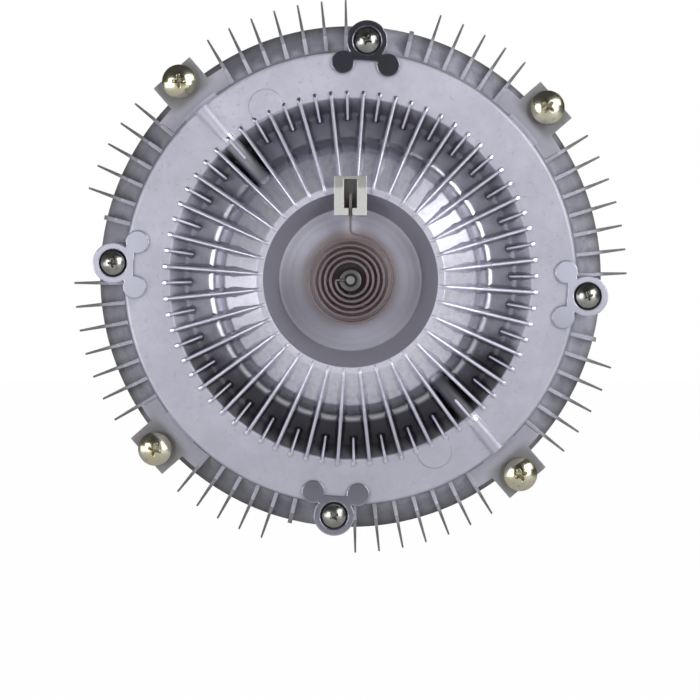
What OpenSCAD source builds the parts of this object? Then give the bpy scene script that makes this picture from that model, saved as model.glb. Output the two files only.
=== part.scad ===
// Viscous fan clutch of a truck engine, bimetal side in front.
// Each piece is drawn with the clutch axis along local z and the drive flange face at z = 0.
// The whole clutch is then turned so that its front faces -Y and +Z is up.

/* [Drive shaft] */
// Diameter of the drive flange
flange_d = 90; // [86:1:100]
// Thickness of the drive flange
flange_t = 9; // [7:0.5:12]
// Bolt circle of the drive flange
flange_pcd = 70; // [66:1:74]
// Diameter of the holes in the drive flange
flange_hole_d = 9; // [7:0.5:10]
// Number of holes in the drive flange
flange_hole_n = 4; // [3:1:6]
// Diameter of the pilot bore in the flange face
pilot_d = 32; // [24:1:34]
// Depth of the pilot bore
pilot_depth = 10; // [6:0.5:14]
// Length of the neck between flange and bearing
neck_len = 24; // [21:1:32]
// Height of the neck above the bearing seat
neck_shoulder = 3.5; // [2:0.5:4.5]
// Fillet between neck and flange
neck_fillet = 5; // [3:0.5:6]

/* [Bearing] */
// Bore of the bearing
bearing_bore = 30; // [28:1:32]
// Outer diameter of the bearing
bearing_od = 62; // [60:1:66]
// Width of the bearing
bearing_w = 16; // [14:1:20]
// Diameter of a ball
ball_d = 9.5; // [8.5:0.25:10]
// Number of balls
ball_n = 9; // [7:1:10]
// Distance from the ball circle to the land of each ring
land_gap = 2.8; // [2.4:0.1:3.4]
// Radial thickness of the ball cage
cage_t = 2.2; // [1.6:0.1:2.8]
// Thickness of a bearing seal
seal_t = 1.3; // [0.8:0.1:1.6]

/* [Rotor] */
// Diameter of the rotor
rotor_d = 190; // [176:1:206]
// Thickness of the rotor web
rotor_web_t = 4; // [3:0.5:6]
// Length of the rotor hub
rotor_hub_len = 13; // [12:0.5:18]
// Diameter of the rotor hub
rotor_hub_d = 48; // [44:1:54]
// Diameter of the rotor seat on the shaft
rotor_seat_d = 26; // [22:0.5:28]
// Number of labyrinth ridges on the rotor
ridge_n = 6; // [3:1:7]
// Thickness of a rotor ridge
ridge_t = 2.6; // [2:0.1:3]
// Thickness of a body ridge
body_ridge_t = 2.2; // [1.6:0.1:2.8]
// Height of the ridges
ridge_h = 7; // [5:0.5:8]
// Number of fluid holes in the rotor web
fluid_hole_n = 4; // [3:1:8]
// Diameter of a fluid hole
fluid_hole_d = 6; // [4:0.5:8]

/* [Rear body] */
// Thickness of the body web
body_web_t = 6; // [5:0.5:8]
// Wall of the bearing boss
boss_wall = 8; // [7:0.5:10]
// Width of the joint face between body and cover
joint_w = 5.5; // [5:0.25:7]
// Step from the cover edge out to the body rim
rim_step = 14.5; // [12:0.5:16]
// Height of the body rim
rim_h = 4; // [3:0.5:6]
// Thickness of the outer wall cone
cone_wall = 4.5; // [3.5:0.25:6]
// Reach of the outer fins past the rim
fin_reach = 12; // [8:0.5:14]
// Thickness of an outer fin at its root
outer_fin_root_t = 2; // [1.4:0.1:2.4]
// Thickness of an outer fin at its tip
outer_fin_tip_t = 0.8; // [0.8:0.1:1.4]
// Height of the rear fins behind the web
rear_fin_h = 10; // [6:0.5:12]
// Thickness of a rear fin
rear_fin_t = 2.4; // [1.8:0.1:3]

/* [Fan tabs] */
// Width of a fan tab
tab_w = 22; // [20:0.5:26]
// Distance that the tabs stand behind the fins
tab_proud = 1; // [0.5:0.1:3]
// Drop of the tab face behind the joint face
tab_drop = 2.5; // [1:0.25:5]
// Distance of the fan bolt circle outside the body rim
fan_bolt_out = 2.5; // [2:0.25:4]
// Distance from the fan screw to the outer edge of its tab
tab_edge = 5.5; // [5:0.25:8]
// Shank diameter of a fan screw
fan_screw_d = 8; // [6:0.5:9]
// Head diameter of a fan screw
fan_head_d = 15.6; // [14:0.2:17]
// Head height of a fan screw
fan_head_h = 5.6; // [4:0.2:7]
// Length of a fan screw behind its tab
fan_stud_len = 14; // [10:0.5:20]

/* [Front cover] */
// Angle of the fin pattern about the axis
clock = -4; // [-10:0.5:10]
// Wall of the cover casting
cover_wall = 4; // [3:0.25:5]
// Width of the flat outer ring
ring_w = 20.5; // [18:0.5:22]
// Depth of the finned recess below the ring
recess_depth = 9.5; // [8:0.5:12]
// Radial length of the slope from the ring down to the recess floor
ring_slope = 7; // [4:0.5:8]
// Rounding of the outer edge of the ring
ring_round = 1.5; // [1:0.25:3]
// Radius of the hub where it meets the recess floor
hub_base_r = 63; // [62.5:0.5:66]
// Draft of the hub wall, measured along the radius
hub_draft = 5.5; // [4:0.5:7]
// Rounding of the hub shoulder and of its foot
hub_round = 3; // [1.5:0.25:3.5]
// Outer radius of the hub rim
hub_rim_r = 42.5; // [41.5:0.25:45]
// Rise of the hub rim above the ring
hub_rise = 12; // [10:0.5:15]
// Width of the flat on the hub rim
hub_rim_w = 3; // [2:0.25:4]
// Depth of the coil cup
cup_depth = 12; // [10:0.5:13]
// Radius of the cup floor
cup_floor_r = 32; // [30:0.5:34]
// Number of long inner fins
fin_n = 36; // [24:1:40]
// Thickness of an inner fin
inner_fin_t = 1.3; // [1.2:0.1:2.4]
// Inner radius of the short fins
short_fin_r = 73.5; // [68:0.5:76]
// Height of the fins above the ring at their outer end
fin_proud = 0.6; // [0.4:0.1:2]

/* [Cover screws] */
// Distance of the cover screws outside the cover edge
lug_out = 5.2; // [5:0.2:7]
// Radius of a cover lug
lug_r = 9.2; // [8.4:0.2:10]
// Shank diameter of a cover screw
cover_screw_d = 6; // [5:0.5:6.5]
// Head diameter of a cover screw
cover_head_d = 10.8; // [10:0.2:12]
// Head height of a cover screw
cover_head_h = 4.2; // [3:0.2:5]
// Engagement of a cover screw in the body
cover_screw_grip = 10; // [7:0.5:12]
// Radius of a casting pad beside a lug
pad_r = 5.2; // [4:0.2:6]

/* [Valve and coil] */
// Diameter of the valve shaft
valve_shaft_d = 10; // [8:0.5:11]
// Thickness of the separator plate
plate_t = 1.5; // [1:0.1:2]
// Radius of the separator plate
plate_r = 62; // [60.5:0.25:62]
// Radius of the circle of the valve port
port_at_r = 40; // [34:0.5:44]
// Diameter of the valve port
port_d = 8; // [5:0.5:10]
// Thickness of the valve arm
arm_t = 1; // [0.8:0.1:1.4]
// Thickness of the bimetal strip
strip_t = 1.1; // [0.8:0.05:1.4]
// Width of the bimetal strip
strip_w = 10; // [8:0.5:11]
// Inner radius of the coil
coil_r0 = 6.6; // [6.5:0.1:7.5]
// Outer radius of the coil
coil_r1 = 20.5; // [18:0.5:23]
// Whole turns of the coil before its last three quarters
coil_turns = 5; // [3:1:5]
// Width of the coil anchor block
anchor_w = 14.6; // [12:0.2:18]
// Inner radius of the coil anchor block
anchor_r0 = 29; // [27:0.25:30]
// Outer radius of the coil anchor block
anchor_r1 = 46.75; // [45:0.25:50]
// Width of the anchor pocket
pocket_w = 5.8; // [4.6:0.2:7]
// Length of the anchor pocket
pocket_len = 13; // [10:0.5:14]

/* [Return passages] */
// Outer radius of a return passage rib
rib_r = 3.6; // [3:0.1:4.2]
// Bore of a return passage
passage_d = 3.5; // [2.5:0.1:4]
// Diameter of a passage plug
plug_d = 4.5; // [4.2:0.1:5]

/* [Hidden] */
$fn = 96;
eps = 0.01;

// Clearances
run_clear = 0.04;
thread_clear = 0.1;
hole_clear = 0.25;
ball_clear = 0.12;
cage_clear = 0.25;
lip_clear = 0.35;
end_clear = 1;
ridge_clear = 0.6;
tip_clear = 2.5;
arm_clear = 0.3;
slit_clear = 0.3;

// Quarter pattern, one lug and one tab in each quarter
quarters = 4;
quarter = 360 / quarters;
tab_at = quarter / 2;
fin_pitch = 5;
full_fins = [for (a = [5 : fin_pitch : 35]) a, for (a = [55 : fin_pitch : 75]) a];
short_fin_at = 80;
base_half_angle = 9.9;
rib_at = [135, 315];
rib_half_angle = 4;

// Bearing
bearing_r0 = bearing_bore / 2;
bearing_r1 = bearing_od / 2;
ball_r = ball_d / 2;
ball_pitch_r = (bearing_r0 + bearing_r1) / 2;
inner_land_r = ball_pitch_r - land_gap;
outer_land_r = ball_pitch_r + land_gap;
seal_recess_r = outer_land_r + 1.2;
seal_recess_depth = seal_t + 0.5;
cage_w = bearing_w - 2 * (seal_recess_depth + 0.5);

// Retaining rings of the bearing and of the rotor
circlip_t = 1.5;
circlip_groove_t = circlip_t + 0.1;
bearing_clip_in = 3;
bearing_clip_out = 2;
bearing_clip_gap = 40;
rotor_clip_in = 1.2;
rotor_clip_out = 2.2;
rotor_clip_gap = 60;

// Levels along the axis, from the drive flange to the front
z_bearing = flange_t + neck_len;
z_bearing_mid = z_bearing + bearing_w / 2;
z_bearing_front = z_bearing + bearing_w;
z_rotor_front = z_bearing_front + rotor_hub_len;
z_rotor_web = z_rotor_front - rotor_web_t;
z_rotor_ridge = z_rotor_web - ridge_h;
z_floor = z_rotor_ridge - end_clear;
z_body_ridge = z_rotor_web - end_clear;
z_body_rear = z_floor - body_web_t;
shaft_tail = circlip_groove_t + 2;
z_shaft_end = z_rotor_front + shaft_tail;
z_joint = z_shaft_end + end_clear;
z_seat = z_joint + plate_t;
z_recess = z_joint + cover_wall;
z_ring = z_recess + recess_depth;
z_lug = z_ring + 1;
z_hub_rim = z_ring + hub_rise;
z_cup = z_hub_rim - cup_depth;
z_hub_top = z_ring + 2;
z_tab = z_joint - tab_drop;
z_tab_rear = z_body_rear - tab_proud;
tab_t = z_tab - z_tab_rear;

// Radii, from the rotor out
rotor_r = rotor_d / 2;
chamber_r = rotor_r + tip_clear;
cover_r = chamber_r + joint_w;
ring_r0 = cover_r - ring_w;
ring_foot_r = ring_r0 - ring_slope;
joint_r = cover_r + 0.5;
rim_r = cover_r + rim_step;
fin_tip_r = rim_r + fin_reach;
lug_at_r = cover_r + lug_out;
fan_bolt_r = rim_r + fan_bolt_out;
tab_r = fan_bolt_r + tab_edge;
ridge_pitch = ridge_t + body_ridge_t + 2 * ridge_clear;
boss_r = bearing_r1 + boss_wall;
lip_r = outer_land_r + 1.5;
lip_t = 3.5;
z_boss_rear = z_bearing - lip_t;
z_boss_front = z_bearing_front + circlip_groove_t + 2.5;
hub_top_r = hub_base_r - hub_draft;
cup_rim_r = hub_rim_r - hub_rim_w;
plate_seat_w = 8;
reservoir_r = plate_r - plate_seat_w;
plate_clear = 0.2;

// Cover seal, an O-ring in a groove of the body joint face
seal_cord_r = 1.1;
seal_at_r = chamber_r + joint_w / 2;
seal_groove_w = 2 * seal_cord_r + 0.6;
seal_groove_depth = 2 * seal_cord_r;

// Screw details
recess_arm_w = 0.17;
recess_arm_l = 0.62;
recess_share = 0.5;
waist_share = 0.88;
spot_depth = 1.2;
z_cover_head = z_lug - spot_depth;
z_cover_screw_end = z_joint - cover_screw_grip;
small_screw_d = 3;
small_head_d = 5.6;
small_screw_n = 4;
small_screw_at_r = (plate_r + reservoir_r) / 2;
small_screw_grip = 3;

// Valve
valve_r = valve_shaft_d / 2;
valve_bore_r = valve_r + run_clear;
boss_in_r = valve_r + 4;
z_arm = z_seat + arm_clear;
z_collar = z_arm + arm_t;
collar_t = 1.2;
z_boss_in = z_collar + collar_t + arm_clear;
collar_r = valve_r + 2;
rivet_r = valve_r - 1.5;
z_cup_in = z_cup - cover_wall;
z_oring = (z_boss_in + z_cup) / 2;
oring_cord_r = 0.9;
port_at = 200;

// Coil and its anchor
coil_pitch_turns = coil_turns + 0.75;
z_coil = z_cup + 4;
z_coil_front = z_coil + strip_w;
z_valve_end = z_coil_front + 1;
z_anchor = z_coil_front + 1.5;
pocket_r1 = anchor_r1 - 1.5;
pocket_r0 = pocket_r1 - pocket_len;
tail_r = (pocket_r0 + pocket_r1) / 2;
slit_w = strip_t + 2 * slit_clear;
slot_w = strip_t + 0.2;
slot_r0 = 2.2;
coil_in_at = 180;
coil_out_at = 90;
coil_step = 12;
bend_r = 2.4;

// Return passages
rib_slope = 3.2;
z_rib = z_ring - 1;

// Colours
cast_colour = "#c4c6d2";
body_colour = "#a9abb6";
steel_colour = "#8d9096";
bright_steel_colour = "#c9ccd2";
zinc_colour = "#c9b878";
bimetal_colour = "#5b4b4a";
rubber_colour = "#26262a";
brass_colour = "#b59a55";

function unit(v) = v / norm(v);

// Turns a piece from its own axis to the clutch's place
module place() {
    rotate([90, 0, 0]) children();
}

// Patch between two edges that meet at p and an arc whose ends are those of a rounding of radius r.
// The arc is tangent to both edges, or flatter by the share given as ease.
module corner(a, p, b, r, ease = 0) {
    u = unit(a - p);
    v = unit(b - p);
    half = acos(u * v) / 2;
    w = unit(u + v);
    c = p + w * (1 + ease) * r / sin(half);
    t = r / tan(half);
    reach = t * (1 + ease);
    difference() {
        polygon([p - w * eps, p + u * reach, c, p + v * reach]);
        translate(c) circle(norm(p + u * t - c));
    }
}

module tube(r0, r1, z0, z1) {
    rotate_extrude() translate([r0, z0]) square([r1 - r0, z1 - z0]);
}

// Copies about the axis, one in each quarter, starting at angle a from the pattern
module each_quarter(a = 0) {
    for (k = [0 : quarters - 1]) rotate(clock + a + k * quarter) children();
}

module around(n, r, a = 0) {
    for (k = [0 : n - 1]) rotate(a + k * 360 / n) translate([r, 0, 0]) children();
}

// Radial plate between two radii, tapering from t0 to t1 in thickness
module plate(r0, r1, t0, t1, z0, z1) {
    translate([0, 0, z0]) linear_extrude(z1 - z0)
        polygon([[r0, -t0 / 2], [r1, -t1 / 2], [r1, t1 / 2], [r0, t0 / 2]]);
}

// Cross recess of a screw head, cut down from z
module cross_recess(head_d, head_h, z) {
    depth = head_h * recess_share;
    for (a = [0, 90]) rotate(a)
        translate([-head_d * recess_arm_l / 2, -head_d * recess_arm_w / 2, z - depth])
            cube([head_d * recess_arm_l, head_d * recess_arm_w, depth + 1]);
}

// Domed screw with its seat at z, a waist down to z_thread and the full shank from there to z_end
module pan_screw(d, head_d, head_h, z, z_thread, z_end) {
    edge_h = head_h * 0.45;
    dome_h = head_h - edge_h;
    dome_r = (pow(head_d / 2, 2) + dome_h * dome_h) / (2 * dome_h);
    difference() {
        union() {
            translate([0, 0, z]) cylinder(d = head_d, h = edge_h);
            intersection() {
                translate([0, 0, z + head_h - dome_r]) sphere(dome_r);
                translate([0, 0, z + edge_h - eps]) cylinder(d = head_d, h = dome_h + 1);
            }
            translate([0, 0, z_end]) cylinder(d = d, h = z_thread - z_end);
            translate([0, 0, z_thread - eps]) cylinder(d = d * waist_share, h = z - z_thread + 2 * eps);
        }
        cross_recess(head_d, head_h, z + head_h);
    }
}

// Open retaining ring with a gap of the given angle
module retaining_ring(r0, r1, z, t, gap) {
    translate([0, 0, z]) rotate(90 + gap / 2)
        rotate_extrude(angle = 360 - gap) translate([r0, 0]) square([r1 - r0, t]);
}

module drive_shaft() {
    neck_r = bearing_r0 + neck_shoulder;
    flange_r = flange_d / 2;
    seat_r = rotor_seat_d / 2;
    chamfer = 1;
    color(steel_colour) place() difference() {
        rotate_extrude() {
            difference() {
                polygon([
                    [0, 0], [flange_r - chamfer, 0], [flange_r, chamfer],
                    [flange_r, flange_t - chamfer], [flange_r - chamfer, flange_t],
                    [neck_r, flange_t], [neck_r, z_bearing], [bearing_r0, z_bearing],
                    [bearing_r0, z_bearing_front], [seat_r, z_bearing_front],
                    [seat_r, z_shaft_end - chamfer], [seat_r - chamfer, z_shaft_end],
                    [0, z_shaft_end]
                ]);
                translate([seat_r - rotor_clip_in, z_rotor_front])
                    square([rotor_clip_in + 1, circlip_groove_t]);
            }
            corner([flange_r, flange_t], [neck_r, flange_t], [neck_r, z_bearing], neck_fillet);
        }
        translate([0, 0, -1]) cylinder(d = pilot_d, h = pilot_depth + 1);
        around(flange_hole_n, flange_pcd / 2, 45)
            translate([0, 0, -1]) cylinder(d = flange_hole_d, h = flange_t + 2);
    }
}

// Half section of the ball track, cut from both rings
module ball_track() {
    translate([ball_pitch_r, z_bearing_mid]) circle(ball_r + ball_clear);
}

module bearing_inner_ring() {
    color(bright_steel_colour) place() rotate_extrude() difference() {
        translate([bearing_r0, z_bearing]) square([inner_land_r - bearing_r0, bearing_w]);
        ball_track();
    }
}

module bearing_outer_ring() {
    color(bright_steel_colour) place() rotate_extrude() difference() {
        translate([outer_land_r, z_bearing]) square([bearing_r1 - outer_land_r, bearing_w]);
        ball_track();
        for (z = [z_bearing - 1, z_bearing_front - seal_recess_depth])
            translate([outer_land_r - 1, z])
                square([seal_recess_r - outer_land_r + 1, seal_recess_depth + 1]);
    }
}

module bearing_balls() {
    color(bright_steel_colour) place()
        around(ball_n, ball_pitch_r) translate([0, 0, z_bearing_mid]) sphere(ball_r);
}

module bearing_cage() {
    color(brass_colour) place() difference() {
        tube(ball_pitch_r - cage_t / 2, ball_pitch_r + cage_t / 2,
            z_bearing_mid - cage_w / 2, z_bearing_mid + cage_w / 2);
        around(ball_n, ball_pitch_r) translate([0, 0, z_bearing_mid])
            rotate([0, 90, 0]) cylinder(r = ball_r + cage_clear, h = 4 * cage_t, center = true);
    }
}

// Bearing seal with its back on the recess step at z
module bearing_seal(z) {
    color(rubber_colour) place()
        tube(inner_land_r + lip_clear, seal_recess_r - thread_clear, z, z + seal_t);
}

module bearing_seal_rear() {
    bearing_seal(z_bearing + seal_recess_depth - seal_t);
}

module bearing_seal_front() {
    bearing_seal(z_bearing_front - seal_recess_depth);
}

module bearing_circlip() {
    color(steel_colour) place()
        retaining_ring(bearing_r1 - bearing_clip_in, bearing_r1 + bearing_clip_out - thread_clear,
            z_bearing_front, circlip_t, bearing_clip_gap);
}

module rotor() {
    hub_r = rotor_hub_d / 2;
    spigot_r = inner_land_r - 0.7;
    spigot_h = 2;
    fluid_at_r = hub_r + (rotor_r - ridge_n * ridge_pitch - hub_r) / 2;
    fluid_at = 20;
    color(body_colour) place() difference() {
        union() {
            tube(0, spigot_r, z_bearing_front, z_rotor_front);
            tube(0, hub_r, z_bearing_front + spigot_h, z_rotor_front);
            tube(0, rotor_r, z_rotor_web, z_rotor_front);
            for (i = [0 : ridge_n - 1])
                tube(rotor_r - i * ridge_pitch - ridge_t, rotor_r - i * ridge_pitch,
                    z_rotor_ridge, z_rotor_web + eps);
        }
        translate([0, 0, z_bearing_front - 1])
            cylinder(d = rotor_seat_d + 2 * thread_clear, h = rotor_hub_len + 2);
        around(fluid_hole_n, fluid_at_r, fluid_at)
            translate([0, 0, z_rotor_web - 1]) cylinder(d = fluid_hole_d, h = rotor_web_t + 2);
    }
}

module rotor_circlip() {
    seat_r = rotor_seat_d / 2;
    color(steel_colour) place()
        retaining_ring(seat_r - rotor_clip_in + thread_clear, seat_r + rotor_clip_out,
            z_rotor_front, circlip_t, rotor_clip_gap);
}

// Half section of the rear body without fins, tabs and lugs
module body_section() {
    rim_chamfer = 1;
    boss_chamfer = 2.5;
    boss_fillet = 4;
    floor_fillet = 2;
    groove_r0 = chamber_r + cone_wall - 0.5;
    cone_foot = [rim_r, z_body_rear + rim_h];
    cone_top = [joint_r, z_joint];
    cone_dir = unit(cone_top - cone_foot);
    cone_in = cone_foot + cone_wall * [-cone_dir[1], cone_dir[0]];
    groove_foot = cone_in - cone_dir * (cone_in[1] - z_body_rear + 1) / cone_dir[1];
    groove_top = cone_in + cone_dir * (groove_r0 + 1.5 - cone_in[0]) / cone_dir[0];
    difference() {
        polygon([
            [lip_r, z_boss_rear], [boss_r - boss_chamfer, z_boss_rear],
            [boss_r, z_boss_rear + boss_chamfer], [boss_r, z_body_rear],
            [rim_r - rim_chamfer, z_body_rear], [rim_r, z_body_rear + rim_chamfer],
            cone_foot, cone_top, [chamber_r, z_joint], [chamber_r, z_floor],
            [boss_r, z_floor], [boss_r, z_boss_front], [bearing_r1, z_boss_front],
            [bearing_r1, z_bearing], [lip_r, z_bearing]
        ]);
        polygon([
            [groove_r0, z_body_rear - 1], groove_foot, groove_top, [groove_r0, groove_top[1]]
        ]);
        translate([bearing_r1 - 1, z_bearing_front]) square([1 + bearing_clip_out, circlip_groove_t]);
    }
    corner([boss_r, z_boss_rear], [boss_r, z_body_rear], [rim_r, z_body_rear], boss_fillet);
    corner([chamber_r, z_joint], [chamber_r, z_floor], [boss_r, z_floor], floor_fillet);
    for (i = [0 : ridge_n - 1])
        translate([rotor_r - i * ridge_pitch - ridge_t - ridge_clear - body_ridge_t, z_floor - eps])
            square([body_ridge_t, z_body_ridge - z_floor + eps]);
}

// Outline that the outer fins are trimmed to
module outer_fin_outline() {
    z_top = z_joint - 2;
    r_root = chamber_r + 2;
    front_len = 8.5;
    r_knee = joint_r + front_len;
    nose = 3;
    slope_drop = 12;
    polygon([
        [r_root, z_body_rear], [fin_tip_r, z_body_rear], [fin_tip_r, z_top - slope_drop - nose],
        [fin_tip_r - nose / 2, z_top - slope_drop], [r_knee, z_top], [r_root, z_top]
    ]);
}

module outer_fins() {
    r_root = joint_r - 1;
    intersection() {
        each_quarter() {
            for (a = full_fins) rotate(a)
                plate(r_root, fin_tip_r + 1, outer_fin_root_t, outer_fin_tip_t,
                    z_body_rear, z_joint);
            rotate(short_fin_at)
                plate(r_root, rim_r, outer_fin_root_t, outer_fin_root_t, z_body_rear, z_joint);
        }
        rotate_extrude() outer_fin_outline();
    }
}

// Radial fins behind the body web, which fall from the bearing boss to the plane of the fan seats
module rear_fins() {
    r0 = boss_r - 2;
    r1 = rim_r - 1.5;
    seat_in = 11;
    count = 36;
    for (k = [0 : count - 1])
        rotate(clock + 5 + k * 360 / count)
            rotate([90, 0, 0]) translate([0, 0, -rear_fin_t / 2]) linear_extrude(rear_fin_t)
                polygon([
                    [r0, z_body_rear + 1], [r0, z_body_rear - rear_fin_h],
                    [r1 - seat_in, z_tab_rear + 0.3], [r1, z_body_rear + 0.5],
                    [r1, z_body_rear + rim_h], [chamber_r + 3, z_body_rear + rim_h],
                    [chamber_r + 1, z_body_rear + 1]
                ]);
}

// Fan tab with the flat base that joins it to the rim
module fan_tab() {
    r_in = chamber_r + 2;
    rim_in = 4;
    base_r = min(rim_r - rim_in, fan_bolt_r - fan_screw_d / 2 - 2 * hole_clear);
    rotate(-base_half_angle) rotate_extrude(angle = 2 * base_half_angle)
        translate([r_in, z_tab_rear]) square([base_r - r_in, tab_t]);
    translate([base_r - rim_in, -tab_w / 2, z_tab_rear]) cube([tab_r - base_r + rim_in, tab_w, tab_t]);
}

module rear_body() {
    lug_floor = 6;
    lug_foot = z_joint - cover_screw_grip - lug_floor;
    seam_at = 4.5 * fin_pitch;
    color(body_colour) place() difference() {
        union() {
            rotate(clock + seam_at) rotate_extrude() body_section();
            outer_fins();
            rear_fins();
            each_quarter(tab_at) fan_tab();
            each_quarter() translate([lug_at_r, 0, lug_foot])
                cylinder(r = lug_r, h = z_joint - lug_foot);
        }
        tube(seal_at_r - seal_groove_w / 2, seal_at_r + seal_groove_w / 2,
            z_joint - seal_groove_depth, z_joint + 1);
        each_quarter(tab_at) translate([fan_bolt_r, 0, z_tab_rear - 1])
            cylinder(d = fan_screw_d + 2 * hole_clear, h = tab_t + 2);
        each_quarter() translate([lug_at_r, 0, z_cover_screw_end - 1])
            cylinder(d = cover_screw_d + 2 * thread_clear, h = cover_screw_grip + 2);
    }
}

// Half section of the cover's front surface down to the joint face
module cover_section() {
    ease = 0.3;
    hub_foot = [hub_base_r, z_recess];
    hub_top = [hub_top_r, z_hub_top];
    rim_out = [hub_rim_r, z_hub_rim];
    difference() {
        polygon([
            [0, z_joint], [cover_r, z_joint], [cover_r, z_ring], [ring_r0, z_ring],
            [ring_foot_r, z_recess], hub_foot, hub_top, rim_out,
            [cup_rim_r, z_hub_rim], [cup_floor_r, z_cup], [0, z_cup]
        ]);
        corner([cover_r, z_joint], [cover_r, z_ring], [ring_r0, z_ring], ring_round);
        corner(hub_foot, hub_top, rim_out, hub_round, ease);
    }
    corner([ring_r0, z_ring], [ring_foot_r, z_recess], hub_foot, hub_round, ease);
    corner([ring_r0, z_recess], hub_foot, hub_top, hub_round, ease);
}

// Radius of the back of the sloped recess wall at a level
function slope_back_r(z) =
    let (back = cover_wall * unit([recess_depth, -ring_slope]))
    ring_foot_r + back[0] + (z - z_recess - back[1]) * ring_slope / recess_depth;

// Half section of the hollows behind the cover: the ring, the plate seat and the reservoir
module cover_hollow() {
    wall = cover_wall;
    z_open = z_joint - 1;
    z_ring_in = z_ring - wall;
    polygon([
        [slope_back_r(z_open), z_open], [chamber_r, z_open],
        [chamber_r, z_ring_in], [slope_back_r(z_ring_in), z_ring_in]
    ]);
    translate([0, z_joint - 1]) square([plate_r + plate_clear, plate_t + 1]);
    polygon([
        [0, z_seat - 1], [reservoir_r, z_seat - 1], [reservoir_r, z_hub_top - wall - 1],
        [hub_top_r - wall, z_hub_top - wall], [hub_rim_r + 1, z_hub_rim - wall - 2],
        [cup_rim_r + wall - 1, z_hub_rim - wall - 2], [cup_floor_r + wall, z_cup_in],
        [boss_in_r, z_cup_in], [boss_in_r, z_boss_in], [0, z_boss_in]
    ]);
}

// Long fin from the hub rim over the recess to the ring
module long_fin() {
    r_end = ring_r0 + 1.6;
    rotate([90, 0, 0]) translate([0, 0, -inner_fin_t / 2]) linear_extrude(inner_fin_t)
        polygon([
            [cup_rim_r + 0.2, z_hub_rim - 0.7], [cup_rim_r + 1.5, z_hub_rim + 0.5],
            [r_end, z_ring + fin_proud], [r_end, z_ring - 1], [ring_foot_r, z_recess - 1],
            [hub_base_r - 1, z_recess - 1], [hub_top_r - 2, z_hub_top - 2]
        ]);
}

// Short fin on the outer part of the recess
module short_fin() {
    r_end = ring_r0 + 1.6;
    r_foot = max(ring_foot_r, short_fin_r + inner_fin_t);
    drop = 3;
    rotate([90, 0, 0]) translate([0, 0, -inner_fin_t / 2]) linear_extrude(inner_fin_t)
        polygon([
            [short_fin_r, z_recess - 1], [short_fin_r, z_ring - drop],
            [r_end, z_ring + fin_proud], [r_end, z_ring - 1], [r_foot, z_recess - 1]
        ]);
}

module inner_fins() {
    pitch = 360 / fin_n;
    for (k = [0 : fin_n - 1]) {
        rotate(clock + k * pitch) long_fin();
        if (min([for (a = rib_at) abs(a - (k + 0.5) * pitch)]) > rib_half_angle)
            rotate(clock + (k + 0.5) * pitch) short_fin();
    }
}

// Screw lug of the cover with its platform and two casting pads
module cover_lug() {
    pad_angle = 6;
    pad_at_r = cover_r - pad_r + 0.5;
    platform_r = cover_r - 4;
    h = z_lug - z_joint;
    translate([lug_at_r, 0, z_joint]) cylinder(r = lug_r, h = h);
    rotate(-pad_angle) rotate_extrude(angle = 2 * pad_angle)
        translate([platform_r, z_joint + 2]) square([cover_r - platform_r, h - 2]);
    for (a = [-pad_angle, pad_angle]) rotate(a)
        translate([pad_at_r, 0, z_ring - 2]) cylinder(r = pad_r, h = z_lug - z_ring + 2);
}

// Edge ear of the cover over a fan tab
module cover_ear() {
    half = 5;
    reach = 2.3;
    drop = 4;
    rotate(-half) rotate_extrude(angle = 2 * half)
        translate([cover_r - 2, z_joint]) square([reach + 2, z_ring - drop - z_joint]);
}

// Large shallow casting mark on the inner part of the ring
module casting_mark() {
    mark_r = 7.7;
    mark_h = 0.4;
    mark_in = 4.8;
    edge_in = 0.4;
    at_r = ring_r0 + mark_in;
    intersection() {
        translate([at_r, 0, z_ring - 1]) cylinder(r = mark_r, h = 1 + mark_h);
        tube(ring_r0 + edge_in, cover_r, z_ring - 2, z_ring + 2);
    }
}

// Axis of a return passage, falling from the cover edge to the hub
module along_passage() {
    translate([cover_r, 0, z_rib]) rotate([0, -90 - rib_slope, 0]) children();
}

// Raised rib round a return passage
module return_rib() {
    len = cover_r - hub_top_r;
    intersection() {
        union() {
            along_passage() cylinder(r = rib_r, h = len + 2);
            along_passage() translate([-z_ring + z_recess, -rib_r, 0])
                cube([z_ring - z_recess, 2 * rib_r, len + 2]);
        }
        tube(hub_top_r - 2, cover_r, z_seat + 1, z_hub_rim);
    }
}

// Block that holds the outer end of the coil, solid down to the underside of the cup
module coil_anchor() {
    translate([-anchor_w / 2, anchor_r0, z_cup_in])
        cube([anchor_w, anchor_r1 - anchor_r0, z_anchor - z_cup_in]);
}

// Pocket and slit in the coil anchor
module anchor_cuts() {
    depth = z_anchor - z_coil + 1.5;
    translate([-pocket_w / 2, pocket_r0, z_anchor - depth]) cube([pocket_w, pocket_len, depth + 1]);
    translate([-slit_w / 2, anchor_r0 - 1, z_anchor - depth])
        cube([slit_w, pocket_r0 - anchor_r0 + 2, depth + 1]);
}

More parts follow.
